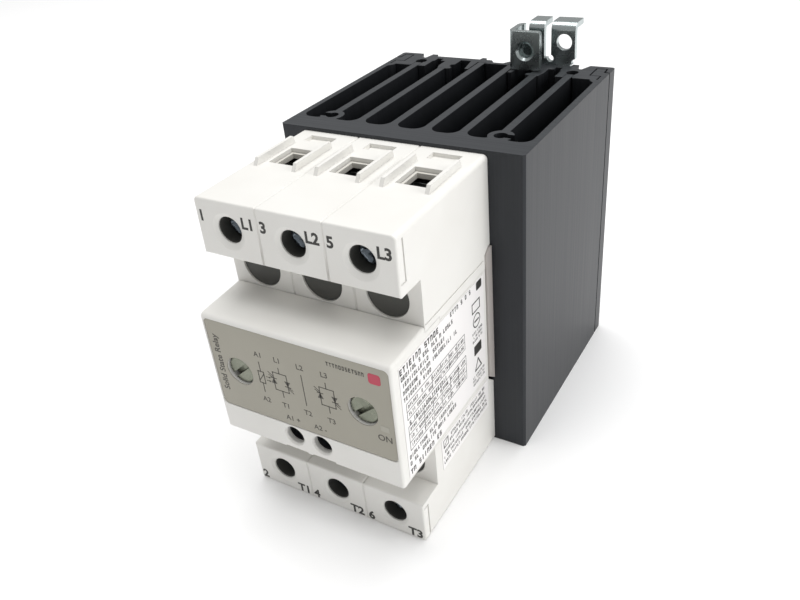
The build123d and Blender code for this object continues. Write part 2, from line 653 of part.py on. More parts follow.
def base_housing():
    """White moulded housing: both terminal blocks, joined by inner walls and two pillars."""
    upper, lower = housing_outside()
    shell = upper + lower - housing_inside()
    half = HOUSE_W / 2
    for side in (-1, 1):
        inner = sorted((HOUSE_X + side * (half - 3.6), HOUSE_X + side * (half - 1.8)))
        shell = shell + block(*inner, -31.0, 0, 20.0, 67.0)
    for x in FIX_X:
        side = 1 if x > HOUSE_X else -1
        rib = sorted((x + side * 2.5, HOUSE_X + side * (half - 3.0)))
        shell = shell + rod_y(x, FIX_Z, 4.0, -41.1, -3.3)
        shell = shell + block(*rib, -29.8, -3.3, FIX_Z - 1.2, FIX_Z + 1.2)
        shell = shell - rod_y(x, FIX_Z, 2.3, -42, 0)
    window = house_profile(
        [(-3.15, 24.3), (0.5, 21.3), (0.5, 65.1), (-1.1, 65.1), (-3.15, 63.6)], half + 2)
    cuts = [window]
    for x in POLES:
        cuts.append(centred(x, ENTRY_HALF_W, ENTRY_FRONT, ENTRY_BACK, 86, 91))
        cuts.append(centred(x, ENTRY_HALF_W, ENTRY_FRONT, ENTRY_BACK, -1, 3))
        cuts.append(centred(x, 3.9, -6.2, -2.7, HOUSE_TOP - 1.0, 91))
        for z in (LINE_Z, LOAD_Z):
            cuts.append(screw_port(x, z))
        for z in STEP_HOLE_Z:
            cuts.append(rod_y(x, z, STEP_HOLE_R, STEP_WALL - 1, STEP_WALL + 3))
    cuts = cuts + pole_grooves(TERM_FRONT - 1, 1, HOUSE_TOP)
    cuts = cuts + pole_grooves_up(TERM_FRONT - 0.15, UP_LOW, HOUSE_TOP)
    cuts = cuts + pole_grooves_up(TERM_FRONT, 0, LOW_TOP)
    cuts = cuts + pole_grooves_up(STEP_WALL, 60, UP_LOW)
    cuts = cuts + pole_grooves(TERM_FRONT - 1, STEP_WALL, LOW_TOP)
    cuts = cuts + side_grooves()
    for cut in cuts:
        shell = shell - cut
    for x in POLES:
        shell = shell + entry_rails(x)
    return shell


LABEL_HALF = 25.9
LABEL_Z = (33.9, 60.1)
LABEL_FACE = MID_FRONT + 0.3


def label_plan(half, low, high, radius, y0, y1):
    """Thin plate with rounded corners on the front of the middle block."""
    plan = Plane.XZ * Pos(HOUSE_X, (low + high) / 2) * RectangleRounded(2 * half, high - low, radius)
    return Pos(0, y1, 0) * extrude(plan, y1 - y0)


def front_cover():
    """Middle block: front, top, underside and two long side plates."""
    half = HOUSE_W / 2
    outer = house_profile(
        [(MID_FRONT, MID_LOW), (-3.25, MID_LOW), (-3.25, 59.6), (-27.6, 59.6), (-27.6, 60.6),
         (-34.6, 60.6), (-34.6, MID_TOP_BACK), (MID_FRONT, MID_TOP)], half)
    lip = edges_at(outer, Axis.X, y=MID_FRONT, z=MID_TOP)
    outer = fillet(lip, 1.2)
    sides = [e for e in outer.edges().filter_by(Axis.Z) if abs(e.center().Y - MID_FRONT) < 0.02]
    outer = fillet(sides, 0.7)
    inner = house_profile(
        [(MID_FRONT + 1.8, MID_LOW + WALL), (-34.7, MID_LOW + WALL), (-34.7, 20), (1, 20), (1, 70),
         (-34.7, 70), (-34.7, MID_TOP_BACK - WALL), (MID_FRONT + 1.8, MID_TOP - WALL)], half - 1.75)
    cover = outer - inner
    for x in FIX_X:
        cover = cover + rod_y(x, FIX_Z, 4.9, MID_FRONT + 1.0, -41.2)
        cover = cover - rod_y(x, FIX_Z, 4.05, MID_FRONT - 1, -46.0)
        cover = cover - rod_y(x, FIX_Z, 2.3, -47, -41)
    for x in CONTROL_X:
        cover = cover - rod_y(x, CONTROL_Z, 2.65, MID_FRONT - 1, -43.0)
        mouth = Pos(x, MID_FRONT + 0.2, CONTROL_Z) * Rot(90, 0, 0) * Cone(2.6, 3.1, 0.8)
        cover = cover - mouth
    cover = cover - block(-12, 10, -47.6, -43.4, 20, MID_LOW)
    cover = cover - label_plan(LABEL_HALF + 0.15, LABEL_Z[0] - 0.15, LABEL_Z[1] + 0.15, 1.3,
                               MID_FRONT - 1, LABEL_FACE)
    cover = cover - block(21.0, 23.5, MID_FRONT - 1, -47, 42.05, 43.95)
    for x in CONTROL_X:
        cover = cover - centred(x, 3.2, -39.7, -35.0, 25, 28)
        cover = cover - centred(x, 3.4, MID_FRONT - 1, -39.6, 25, MID_LOW + 0.35)
    return cover


def facia_label():
    """Grey facia foil, cut out round the two housing screws."""
    foil = label_plan(LABEL_HALF, LABEL_Z[0], LABEL_Z[1], 1.2, LABEL_FACE - 0.15, LABEL_FACE)
    for x in FIX_X:
        foil = foil - rod_y(x, FIX_Z, 4.0, MID_FRONT - 1, -48)
    return foil


def rating_label():
    """White paper label on the right side of the middle block."""
    x = HOUSE_X + HOUSE_W / 2
    return block(x, x + 0.12, -46.8, -4.7, 26.8, 59.1)


def caution_label():
    """Small second label under it."""
    x = HOUSE_X + HOUSE_W / 2
    return block(x, x + 0.12, -31.2, -3.9, 15.3, 25.0)


def housing_screws():
    """Two long slotted screws that hold cover and housing to the heatsink."""
    screws = []
    for x in FIX_X:
        head = rod_y(x, FIX_Z, 3.85, -48.6, -46.0)
        head = fillet(head.edges().filter_by(GeomType.CIRCLE).group_by(Axis.Y)[0], 0.4)
        stem = rod_y(x, FIX_Z, 2.0, -46.1, 5.8)
        slot = Pos(x, -48.6, FIX_Z) * Rot(0, -40, 0) * Box(9, 2.6, 1.3)
        screws.append(head + stem - slot)
    return group(screws)


# ---------------------------------------------------------------- write every node
save("heatsink_core", heatsink_core())
save("heatsink_back_plate", heatsink_back_plate())
save("din_bracket", din_bracket())
save("bracket_screws", bracket_screws())
save("din_slider", din_slider())
save("slider_guide_screws", slider_guide_screws())
save("din_spring", din_spring())
save("thermal_pad", thermal_pad())
save("substrate_frame", substrate_frame())
save("frame_screws", frame_screws())
save("ceramic_substrates", ceramic_substrates())
save("thyristor_chips", thyristor_chips())
save("bond_straps", bond_straps())
save("gate_pins", gate_pins())
save("busbar_l1", line_busbar(POLES[0]))
save("busbar_l3", line_busbar(POLES[2]))
save("busbar_t1", load_busbar(POLES[0]))
save("busbar_t3", load_busbar(POLES[2]))
save("busbar_l2_t2", direct_busbar())
save("control_board", control_board())
save("optocouplers", optocouplers())
save("varistors", varistors())
save("filter_capacitor", filter_capacitor())
save("status_led", status_led())
save("light_pipe", light_pipe())
save("control_terminal_body", control_terminal_body())
save("control_contacts", control_contacts())
save("line_terminal_carrier", terminal_carrier(LINE_Z, 76.4, 86.6, 62.5, STEP_HOLE_Z[0]))
save("load_terminal_carrier", terminal_carrier(LOAD_Z, 11.2, 2.2, 25.5, STEP_HOLE_Z[1]))
save("line_wire_guide", wire_guide((86.7, 87.2), 88.0))
save("load_wire_guide", wire_guide((1.65, 2.15), 0.9))
save("base_housing", base_housing())
save("front_cover", front_cover())
save("facia_label", facia_label())
save("rating_label", rating_label())
save("caution_label", caution_label())
save("housing_screws", housing_screws())
for index, pole_x in enumerate(POLES):
    save(f"power_screw_{2 * index + 1}", power_screw(pole_x, LINE_Z))
    save(f"power_clamp_{2 * index + 1}", power_clamp(pole_x, LINE_Z))
    save(f"power_screw_{2 * index + 2}", power_screw(pole_x, LOAD_Z))
    save(f"power_clamp_{2 * index + 2}", power_clamp(pole_x, LOAD_Z))
for name, control_x in zip(("a1", "a2"), CONTROL_X):
    save(f"control_screw_{name}", control_screw(control_x))
    save(f"control_clamp_{name}", control_clamp(control_x))
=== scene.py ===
"""Three-pole solid state relay on its heatsink: finishes, printing, spring, threads and studio.

Sizes in the classes are millimetres. Meshes are written in metres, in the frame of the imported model:
+Z up, the terminals face -Y, +X to the right of a person facing them.
"""

import logging
import math
from dataclasses import dataclass, field
from enum import Enum

import bmesh
import bpy
from mathutils import Matrix, Vector


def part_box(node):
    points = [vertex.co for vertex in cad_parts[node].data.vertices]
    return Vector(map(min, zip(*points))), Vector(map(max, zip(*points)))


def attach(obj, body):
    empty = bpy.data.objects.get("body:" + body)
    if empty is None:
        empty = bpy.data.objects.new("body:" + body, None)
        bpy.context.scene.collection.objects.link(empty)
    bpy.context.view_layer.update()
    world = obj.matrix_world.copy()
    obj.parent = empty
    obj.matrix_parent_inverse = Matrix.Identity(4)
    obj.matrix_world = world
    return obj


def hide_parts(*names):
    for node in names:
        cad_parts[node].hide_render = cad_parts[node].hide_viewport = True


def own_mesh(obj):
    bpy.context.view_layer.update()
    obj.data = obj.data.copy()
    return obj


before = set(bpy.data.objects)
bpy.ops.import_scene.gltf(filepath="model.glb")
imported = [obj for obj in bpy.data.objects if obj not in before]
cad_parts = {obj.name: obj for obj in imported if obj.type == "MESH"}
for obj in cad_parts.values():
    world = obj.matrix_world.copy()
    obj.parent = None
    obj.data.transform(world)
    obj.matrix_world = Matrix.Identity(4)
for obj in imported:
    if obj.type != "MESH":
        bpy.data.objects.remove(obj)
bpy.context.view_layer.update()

MM = 0.001
LOG = logging.getLogger("relay")

Tree = bpy.types.NodeTree
Node = bpy.types.Node
Socket = bpy.types.NodeSocket
Place = tuple[float, float]
Triple = tuple[float, float, float]


# ---------------------------------------------------------------- small helpers
def linear(code: str) -> tuple[float, float, float, float]:
    """Linear colour of an sRGB hex code.

    Args:
        code: six hex digits after a hash.
    Returns:
        Linear red, green, blue and an alpha of one.
    """
    parts = [int(code[i:i + 2], 16) / 255 for i in (1, 3, 5)]
    low = [c / 12.92 if c <= 0.04045 else ((c + 0.055) / 1.055) ** 2.4 for c in parts]
    return (*low, 1.0)


def add(tree: Tree, kind: str, inputs: dict | None = None, **settings: object) -> Node:
    """Adds one node with its settings and links.

    Args:
        tree: the node tree.
        kind: the node's type name.
        inputs: value or output socket for each input, by name or index.
        settings: attributes of the node.
    Returns:
        The new node.
    """
    node = tree.nodes.new(kind)
    for name, value in settings.items():
        setattr(node, name, value)
    for key, value in (inputs or {}).items():
        if isinstance(value, Socket):
            tree.links.new(value, node.inputs[key])
        else:
            node.inputs[key].default_value = value
    return node


def new_object(name: str, data: bpy.types.ID) -> bpy.types.Object:
    """Links data to the scene as an object at the origin."""
    obj = bpy.data.objects.new(name, data)
    bpy.context.scene.collection.objects.link(obj)
    return obj


def evaluated_mesh(obj: bpy.types.Object) -> bpy.types.Mesh:
    """Plain mesh of an object as its modifiers leave it."""
    graph = bpy.context.evaluated_depsgraph_get()
    return bpy.data.meshes.new_from_object(obj.evaluated_get(graph))


def drop(obj: bpy.types.Object) -> None:
    """Removes a helper object."""
    bpy.data.objects.remove(obj, do_unlink=True)


# ---------------------------------------------------------------- finishes
@dataclass(frozen=True)
class Finish:
    """A surface: its two colours, gloss and the way it was made.

    Its colour drifts to its shade over the drift's length, and its roughness swings about its value. Sharp
    edges look rounded by the edge radius, under a bump of the given depth and strength. Lengths are
    millimetres.
    """

    name: str
    colour: str
    shade: str
    roughness: float = 0.5
    metallic: float = 0.0
    drift: float = 12.0
    ior: float = 1.5
    edge: float = 0.22
    swing: float = 0.04
    depth: float = 0.02
    strength: float = 0.5

    def material(self) -> bpy.types.Material:
        """The material, made on first use."""
        known = bpy.data.materials.get(self.name)
        if known:
            return known
        made = bpy.data.materials.new(self.name)
        made.use_nodes = True
        tree = made.node_tree
        tree.nodes.clear()
        shader = add(tree, "ShaderNodeBsdfPrincipled", {
            "Metallic": self.metallic, "Roughness": self.roughness})
        if self.metallic < 1:
            shader.inputs["IOR"].default_value = self.ior
        add(tree, "ShaderNodeOutputMaterial", {"Surface": shader.outputs[0]})
        place = add(tree, "ShaderNodeTexCoord").outputs["Object"]
        self.dress(tree, shader, place)
        return made

    def noise(self, tree: Tree, place: Socket, size: Triple, detail: float = 2.0) -> Socket:
        """Noise whose blobs have the given size.

        Args:
            tree: the node tree.
            place: object coordinates.
            size: size of a blob along X, Y and Z, in millimetres.
            detail: finer octaves.
        Returns:
            The noise factor.
        """
        scale = Vector([1 / (side * MM) for side in size])
        grid = add(tree, "ShaderNodeMapping", {"Vector": place, "Scale": scale})
        blobs = add(tree, "ShaderNodeTexNoise", {"Vector": grid.outputs[0], "Scale": 1.0, "Detail": detail})
        return blobs.outputs[0]

    def between(self, tree: Tree, factor: Socket, first: object, second: object) -> Socket:
        """Colour between two, by a factor."""
        return add(tree, "ShaderNodeMix", {0: factor, 6: first, 7: second}, data_type="RGBA").outputs[2]

    def gloss(self, tree: Tree, shader: Node, factor: Socket) -> None:
        """Lets the roughness swing about its value."""
        span = add(tree, "ShaderNodeMapRange", {
            "Value": factor, 3: self.roughness - self.swing, 4: self.roughness + self.swing})
        tree.links.new(span.outputs[0], shader.inputs["Roughness"])

    def relief(self, tree: Tree, shader: Node, height: Socket) -> None:
        """Bump over softened edges."""
        soft = add(tree, "ShaderNodeBevel", {"Radius": self.edge * MM}, samples=4)
        bump = add(tree, "ShaderNodeBump", {
            "Height": height, "Distance": self.depth * MM, "Strength": self.strength,
            "Normal": soft.outputs[0]})
        tree.links.new(bump.outputs[0], shader.inputs["Normal"])

    def dress(self, tree: Tree, shader: Node, place: Socket) -> None:
        """A slow drift between the two colours."""
        slow = self.noise(tree, place, (self.drift,) * 3)
        tone = self.between(tree, slow, linear(self.colour), linear(self.shade))
        tree.links.new(tone, shader.inputs["Base Color"])
        self.gloss(tree, shader, slow)


@dataclass(frozen=True)
class Moulded(Finish):
    """Injection-moulded plastic: an even spark-eroded grain, softly mottled."""

    grain: float = 0.35

    def dress(self, tree: Tree, shader: Node, place: Socket) -> None:
        """Fine grain over the drift."""
        super().dress(tree, shader, place)
        self.relief(tree, shader, self.noise(tree, place, (self.grain,) * 3, 3.0))


@dataclass(frozen=True)
class Extruded(Finish):
    """Black anodised extrusion: die lines along its length, saw marks on the cut ends. The ends also get a
    lighter colour, which is painted light for the overhead light on the heatsink's top.
    """

    swing: float = 0.09
    depth: float = 0.03
    strength: float = 0.6
    # painted light: this lighter end colour stands in for the light falling on the heatsink's top
    end: str = "#4A4D50"
    line: float = 0.45
    run: float = 60.0
    upright: float = 0.9

    def dress(self, tree: Tree, shader: Node, place: Socket) -> None:
        """Die lines on the sides; saw marks and a lighter painted-light colour on the ends."""
        lines = self.noise(tree, place, (self.line, self.line, self.run), 4.0)
        marks = self.noise(tree, place, (self.run, self.line, self.line), 4.0)
        side = self.between(tree, lines, linear(self.colour), linear(self.shade))
        end = self.between(tree, marks, linear(self.end), linear(self.shade))
        facing = add(tree, "ShaderNodeSeparateXYZ", {0: add(tree, "ShaderNodeTexCoord").outputs["Normal"]})
        upward = add(tree, "ShaderNodeMath", {0: facing.outputs["Z"]}, operation="ABSOLUTE")
        sawn_end_with_painted_light = add(tree, "ShaderNodeMath", {0: upward.outputs[0], 1: self.upright}, operation="GREATER_THAN")
        # painted light: faces that point up or down take the lighter end colour
        tone = self.between(tree, sawn_end_with_painted_light.outputs[0], side, end)
        tree.links.new(tone, shader.inputs["Base Color"])
        grain = add(tree, "ShaderNodeMix", {0: sawn_end_with_painted_light.outputs[0], 2: lines, 3: marks})
        self.gloss(tree, shader, grain.outputs[0])
        self.relief(tree, shader, grain.outputs[0])


@dataclass(frozen=True)
class Plated(Finish):
    """Zinc-plated steel: bright, with clouds of blue and straw, and faint rolling lines."""

    swing: float = 0.12
    depth: float = 0.012
    cloud: float = 3.0
    rolled: Triple = (0.25, 0.25, 6.0)

    def dress(self, tree: Tree, shader: Node, place: Socket) -> None:
        """Clouds in colour and gloss, with rolling lines in relief."""
        clouds = self.noise(tree, place, (self.cloud,) * 3, 5.0)
        tone = self.between(tree, clouds, linear(self.colour), linear(self.shade))
        tree.links.new(tone, shader.inputs["Base Color"])
        self.gloss(tree, shader, clouds)
        self.relief(tree, shader, self.noise(tree, place, self.rolled, 3.0))


@dataclass(frozen=True)
class Drawn(Finish):
    """Rolled or drawn metal strip: streaks along one axis."""

    swing: float = 0.08
    depth: float = 0.01
    strength: float = 0.4
    streak: Triple = (0.3, 0.3, 12.0)

    def dress(self, tree: Tree, shader: Node, place: Socket) -> None:
        """Streaks in colour, gloss and relief."""
        streaks = self.noise(tree, place, self.streak, 3.0)
        tone = self.between(tree, streaks, linear(self.colour), linear(self.shade))
        tree.links.new(tone, shader.inputs["Base Color"])
        self.gloss(tree, shader, streaks)
        self.relief(tree, shader, streaks)


@dataclass(frozen=True)
class Clear(Finish):
    """Clear or tinted plastic that light passes through."""

    through: float = 0.85

    def dress(self, tree: Tree, shader: Node, place: Socket) -> None:
        """Transmission with a faint drift in colour."""
        super().dress(tree, shader, place)
        shader.inputs["Transmission Weight"].default_value = self.through


@dataclass(frozen=True)
class Masked(Finish):
    """Glass-epoxy board under solder mask: copper tracks show as paler runs."""

    depth: float = 0.035
    track: float = 2.4
    gap: float = 0.12

    def dress(self, tree: Tree, shader: Node, place: Socket) -> None:
        """Tracks from a brick pattern under the mask."""
        turned = add(tree, "ShaderNodeMapping", {"Vector": place, "Rotation": (math.pi / 2, 0.0, 0.0)})
        bricks = add(tree, "ShaderNodeTexBrick", {
            "Vector": turned.outputs[0], "Color1": linear(self.colour), "Color2": linear(self.colour),
            "Mortar": linear(self.shade), "Scale": 1 / MM, "Mortar Size": self.gap, "Mortar Smooth": 0.1,
            "Brick Width": 3 * self.track, "Row Height": self.track})
        tree.links.new(bricks.outputs["Color"], shader.inputs["Base Color"])
        self.relief(tree, shader, bricks.outputs["Fac"])


HOUSING = Moulded("white_polycarbonate_moulded", "#E6E5E1", "#DEDCD7", 0.48, grain=0.4, depth=0.012)
CARRIER = Moulded("dark_grey_polyamide_moulded", "#4A4A46", "#3F3F3C", 0.55, grain=0.4)
GUIDE = Moulded("light_grey_polyamide_moulded", "#CFCDC6", "#C3C0B8", 0.5)
FRAME_PLASTIC = Moulded("pinkish_grey_polyester_moulded", "#B9B3AF", "#AEA8A4", 0.5)
BLACK_EPOXY = Moulded("black_epoxy_moulded", "#1A1A1B", "#222224", 0.42)
# its lighter end colour is painted light on the heatsink's top
ANODISED = Extruded("black_anodised_aluminium_extruded", "#25272A", "#34363A", 0.42, 0.55)
ZINC_SHEET = Plated("zinc_plated_steel_sheet", "#C3CACC", "#A9B3B0", 0.27, 1.0)
# painted shade: zinc plate coloured darker, for the shade on the clamp screw heads deep in the terminal
# holes
ZINC_SCREW_DARKENED_SHADE = Plated("zinc_plated_steel_turned_painted_shade", "#868E95", "#5F6870", 0.26, 1.0, cloud=1.2)
# painted shade: the dark grey-green stands in for the shade inside the deep fixing holes of the facia
DARK_SCREW_PAINTED_SHADE = Plated("grey_green_steel_turned_painted_shade", "#84877A", "#6E7165", 0.28, 1.0, cloud=1.6)
CLAMP_STEEL = Plated("zinc_plated_steel_pressed", "#A2A6A5", "#868B8A", 0.4, 1.0, cloud=2.0)
SPRING_STEEL = Drawn("spring_steel_wire_drawn", "#A7A9AB", "#8B8E92", 0.3, 1.0)
COPPER = Drawn("copper_strip_rolled", "#C77B54", "#B06A45", 0.32, 1.0)
TINNED = Drawn("tin_plated_copper_rolled", "#C6C6C2", "#B2B2AE", 0.38, 1.0)
BRASS = Drawn("brass_strip_rolled", "#C9A860", "#B39350", 0.3, 1.0)
CERAMIC = Moulded("alumina_ceramic_fired", "#E4E1D6", "#DAD6C9", 0.6, grain=0.15, depth=0.008)
SILICON = Finish("silicon_chip_passivated", "#3A3F4B", "#2E3240", 0.2, 0.3, 4.0)
FOIL_PAD = Moulded("graphite_foil_rolled", "#5A5B5E", "#4E4F53", 0.6, grain=0.5)
BOARD = Masked("glass_epoxy_board_masked", "#14502C", "#1F6C3C", 0.35)
VARISTOR = Moulded("blue_epoxy_dipped", "#24508C", "#1C4278", 0.35, grain=0.6)
SLEEVE = Finish("black_pvc_sleeve_shrunk", "#1B1D2B", "#232636", 0.3)
LED_BODY = Clear("green_epoxy_cast", "#8FD06A", "#7CC25A", 0.15)
ACRYLIC = Clear("clear_acrylic_moulded", "#F0F4F2", "#E6ECE9", 0.08, ior=1.49)
FACIA = Moulded("grey_polyester_foil_printed", "#A29E91", "#9C988B", 0.42, grain=0.25, depth=0.006)
PAPER = Moulded("white_polyester_label_printed", "#F1EFEE", "#EBE8E7", 0.32, grain=0.5, depth=0.004)
INK = Moulded("black_ink_pad_printed", "#23221F", "#2C2B27", 0.45, grain=0.2, depth=0.004)
FACIA_INK = Moulded("grey_ink_screen_printed", "#45423B", "#4C4941", 0.45, grain=0.2, depth=0.004)
RED_INK = Moulded("red_ink_screen_printed", "#BE3A52", "#B5334B", 0.42, grain=0.2, depth=0.004)
WINDOW_INK = Moulded("pale_ink_screen_printed", "#ABA89C", "#A5A296", 0.4, grain=0.2, depth=0.004)
SWEEP = Moulded("white_paper_sweep", "#FCFCFC", "#FCFCFC", 0.8, grain=1.5)


# ---------------------------------------------------------------- recipes of repeated and rule-made shapes
class Kind(Enum):
    """Kinds of recipe input."""

    LENGTH = "NodeSocketFloat"
    COUNT = "NodeSocketInt"
    FINISH = "NodeSocketMaterial"


class Recipe:
    """A Geometry Nodes tree with named inputs, baked to a plain mesh."""

    def __init__(self, name: str, lengths: tuple[str, ...], counts: tuple[str, ...]) -> None:
        """Makes the tree's inputs and its output.

        Args:
            name: the tree's name.
            lengths: names of the inputs that are lengths or shares.
            counts: names of the inputs that are whole numbers.
        """
        self.tree = bpy.data.node_groups.new(name, "GeometryNodeTree")
        face = self.tree.interface
        face.new_socket("Geometry", in_out="OUTPUT", socket_type="NodeSocketGeometry")
        for kind, labels in ((Kind.LENGTH, lengths), (Kind.COUNT, counts), (Kind.FINISH, ("Finish",))):
            for label in labels:
                face.new_socket(label, in_out="INPUT", socket_type=kind.value)
        self.given = add(self.tree, "NodeGroupInput").outputs

    def add(self, kind: str, inputs: dict | None = None, **settings: object) -> Node:
        """Adds one node to the tree."""
        return add(self.tree, kind, inputs, **settings)

    def sum(self, operation: str, first: object, second: object) -> Socket:
        """Result of one arithmetic step."""
        return self.add("ShaderNodeMath", {0: first, 1: second}, operation=operation).outputs[0]

    def chance(self, low: float, high: float, seed: object) -> Socket:
        """A random number for each point."""
        return self.add("FunctionNodeRandomValue", {2: low, 3: high, 8: seed}).outputs[1]

    def glyph(self, *strokes: tuple[float, float, float, float]) -> Socket:
        """One letter-like shape in a unit square, as an instance.

        Args:
            strokes: middle x, middle y, width and height of each stroke.
        Returns:
            The instance.
        """
        joined = self.add("GeometryNodeJoinGeometry")
        for x, y, width, height in strokes:
            bar = self.add("GeometryNodeMeshCube", {"Size": (width, height, 1.0)})
            moved = self.add("GeometryNodeTransform", {
                "Geometry": bar.outputs[0], "Translation": (x, y, 0.0)})
            self.tree.links.new(moved.outputs[0], joined.inputs[0])
        return self.add("GeometryNodeGeometryToInstance", {0: joined.outputs[0]}).outputs[0]

    def bars(self, points: Socket, across: object, along: object, thickness: object) -> Socket:
        """A flat bar on each point."""
        size = self.add("ShaderNodeCombineXYZ", {0: across, 1: along, 2: thickness})
        bar = self.add("GeometryNodeMeshCube", {"Size": (1.0, 1.0, 1.0)})
        placed = self.add("GeometryNodeInstanceOnPoints", {
            "Points": points, "Instance": bar.outputs[0], "Scale": size.outputs[0]})
        return placed.outputs[0]

    def close(self, geometry: Socket) -> None:
        """Ends the tree: real geometry with its finish."""
        real = self.add("GeometryNodeRealizeInstances", {0: geometry})
        dressed = self.add("GeometryNodeSetMaterial", {
            "Geometry": real.outputs[0], "Material": self.given["Finish"]})
        self.add("NodeGroupOutput", {0: dressed.outputs[0]})

    def bake(self, finish: Finish, **sizes: float) -> bpy.types.Mesh:
        """Plain mesh for the given sizes.

        Args:
            finish: the finish of the shape.
            sizes: one value for each named input, in metres or as a count.
        Returns:
            The mesh, about the recipe's own origin.
        """
        host = new_object("recipe_host", bpy.data.meshes.new("recipe_host"))
        step = host.modifiers.new("recipe", "NODES")
        step.node_group = self.tree
        for item in self.tree.interface.items_tree:
            if item.in_out == "INPUT":
                step[item.identifier] = finish.material() if item.name == "Finish" else sizes[item.name]
        mesh = evaluated_mesh(host)
        host.modifiers.remove(step)
        drop(host)
        return mesh


# Strokes of the letter-like shapes in a unit square: middle x, middle y, width and height of each.
GLYPHS = (
    ((-0.32, 0.0, 0.32, 1.0), (0.08, 0.39, 0.66, 0.22), (0.08, -0.39, 0.66, 0.22), (0.04, 0.0, 0.58, 0.2)),
    ((-0.32, 0.0, 0.3, 1.0), (0.32, -0.1, 0.3, 0.8), (0.0, 0.34, 0.8, 0.22)),
    ((-0.32, 0.0, 0.3, 0.9), (0.32, 0.0, 0.3, 0.9), (0.0, 0.39, 0.7, 0.22), (0.0, -0.39, 0.7, 0.22)),
    ((0.0, -0.05, 0.32, 0.9), (0.0, 0.39, 0.9, 0.24)),
    ((-0.32, 0.0, 0.32, 1.0), (0.08, -0.39, 0.66, 0.24)),
    ((0.0, 0.0, 0.34, 1.0),),
    ((-0.32, 0.2, 0.3, 0.5), (0.32, -0.2, 0.3, 0.5), (0.0, 0.39, 0.8, 0.22), (0.0, 0.0, 0.8, 0.2),
     (0.0, -0.39, 0.8, 0.22)))


def small_print(narrow: float = 0.7, wide: float = 0.92) -> Recipe:
    """Rows of random letter-like shapes, with gaps between words.

    Args:
        narrow: the thinnest letter's share of its cell.
        wide: the widest letter's share.
    Returns:
        The recipe.
    """
    made = Recipe("small_print", ("Width", "Pitch", "Height", "Thickness", "Gaps"),
                  ("Letters", "Lines", "Seed"))
    given = made.given
    depth = made.sum("MULTIPLY", given["Pitch"], made.sum("SUBTRACT", given["Lines"], 1.0))
    places = made.add("GeometryNodeMeshGrid", {
        "Size X": given["Width"], "Size Y": depth, "Vertices X": given["Letters"],
        "Vertices Y": given["Lines"]})
    gap = made.add("FunctionNodeRandomValue", {6: given["Gaps"], 8: given["Seed"]}, data_type="BOOLEAN")
    kept = made.add("GeometryNodeDeleteGeometry", {
        "Geometry": places.outputs[0], "Selection": gap.outputs[3]}, domain="POINT")
    shapes = made.add("GeometryNodeJoinGeometry")
    for strokes in GLYPHS:
        made.tree.links.new(made.glyph(*strokes), shapes.inputs[0])
    chosen = made.add("FunctionNodeRandomValue", {
        4: 0, 5: len(GLYPHS) - 1, 8: given["Seed"]}, data_type="INT")
    cell = made.sum("DIVIDE", given["Width"], given["Letters"])
    across = made.sum("MULTIPLY", cell, made.chance(narrow, wide, given["Seed"]))
    size = made.add("ShaderNodeCombineXYZ", {0: across, 1: given["Height"], 2: given["Thickness"]})
    placed = made.add("GeometryNodeInstanceOnPoints", {
        "Points": kept.outputs[0], "Instance": shapes.outputs[0], "Pick Instance": True,
        "Instance Index": chosen.outputs[2], "Scale": size.outputs[0]})
    made.close(placed.outputs[0])
    return made


def ruled_table() -> Recipe:
    """Rules of a table: equal columns and rows."""
    made = Recipe("ruled_table", ("Width", "Height", "Rule", "Thickness"), ("Columns", "Rows"))
    given = made.given
    uprights = made.add("GeometryNodeMeshGrid", {
        "Size X": given["Width"], "Size Y": 0.0, "Vertices X": made.sum("ADD", given["Columns"], 1.0),
        "Vertices Y": 1})
    levels = made.add("GeometryNodeMeshGrid", {
        "Size X": 0.0, "Size Y": given["Height"], "Vertices X": 1,
        "Vertices Y": made.sum("ADD", given["Rows"], 1.0)})
    tall = made.sum("ADD", given["Height"], given["Rule"])
    wide = made.sum("ADD", given["Width"], given["Rule"])
    both = made.add("GeometryNodeJoinGeometry")
    for points, across, along in ((uprights, given["Rule"], tall), (levels, wide, given["Rule"])):
        made.tree.links.new(made.bars(points.outputs[0], across, along, given["Thickness"]), both.inputs[0])
    made.close(both.outputs[0])
    return made


def helix(points: int = 28) -> Recipe:
    """A wire wound along Z. Closed is one for closed end turns and zero for an even pitch."""
    made = Recipe("helix", ("Radius", "Wire", "Height", "Turns", "Closed"), ("Sides",))
    given = made.given
    coil = made.add("GeometryNodeCurveSpiral", {
        "Resolution": points, "Rotations": given["Turns"], "Start Radius": given["Radius"],
        "End Radius": given["Radius"], "Height": given["Height"]})
    along = made.add("GeometryNodeSplineParameter").outputs["Factor"]
    one = made.sum("DIVIDE", 1.0, given["Turns"])
    rest = made.sum("SUBTRACT", 1.0, one)
    wire = made.sum("MULTIPLY", given["Wire"], 2.0)
    middle = made.sum("SUBTRACT", given["Height"], made.sum("MULTIPLY", wire, 2.0))
    rises = [made.add("ShaderNodeMapRange", {"Value": along, 1: start, 2: end, 3: 0.0, 4: rise}).outputs[0]
             for start, end, rise in ((0.0, one, wire), (one, rest, middle), (rest, 1.0, wire))]
    closed = made.sum("ADD", rises[0], made.sum("ADD", rises[1], rises[2]))
    even = made.sum("MULTIPLY", along, given["Height"])
    level = made.add("ShaderNodeMix", {0: given["Closed"], 2: even, 3: closed}).outputs[0]
    place = made.add("ShaderNodeSeparateXYZ", {0: made.add("GeometryNodeInputPosition").outputs[0]})
    moved = made.add("ShaderNodeCombineXYZ", {0: place.outputs[0], 1: place.outputs[1], 2: level})
    wound = made.add("GeometryNodeSetPosition", {"Geometry": coil.outputs[0], "Position": moved.outputs[0]})
    upright = made.add("GeometryNodeSetCurveNormal", {"Curve": wound.outputs[0]}, mode="Z_UP")
    section = made.add("GeometryNodeCurvePrimitiveCircle", {
        "Resolution": given["Sides"], "Radius": given["Wire"]})
    swept = made.add("GeometryNodeCurveToMesh", {
        "Curve": upright.outputs[0], "Profile Curve": section.outputs[0], "Fill Caps": True})
    made.close(swept.outputs[0])
    return made


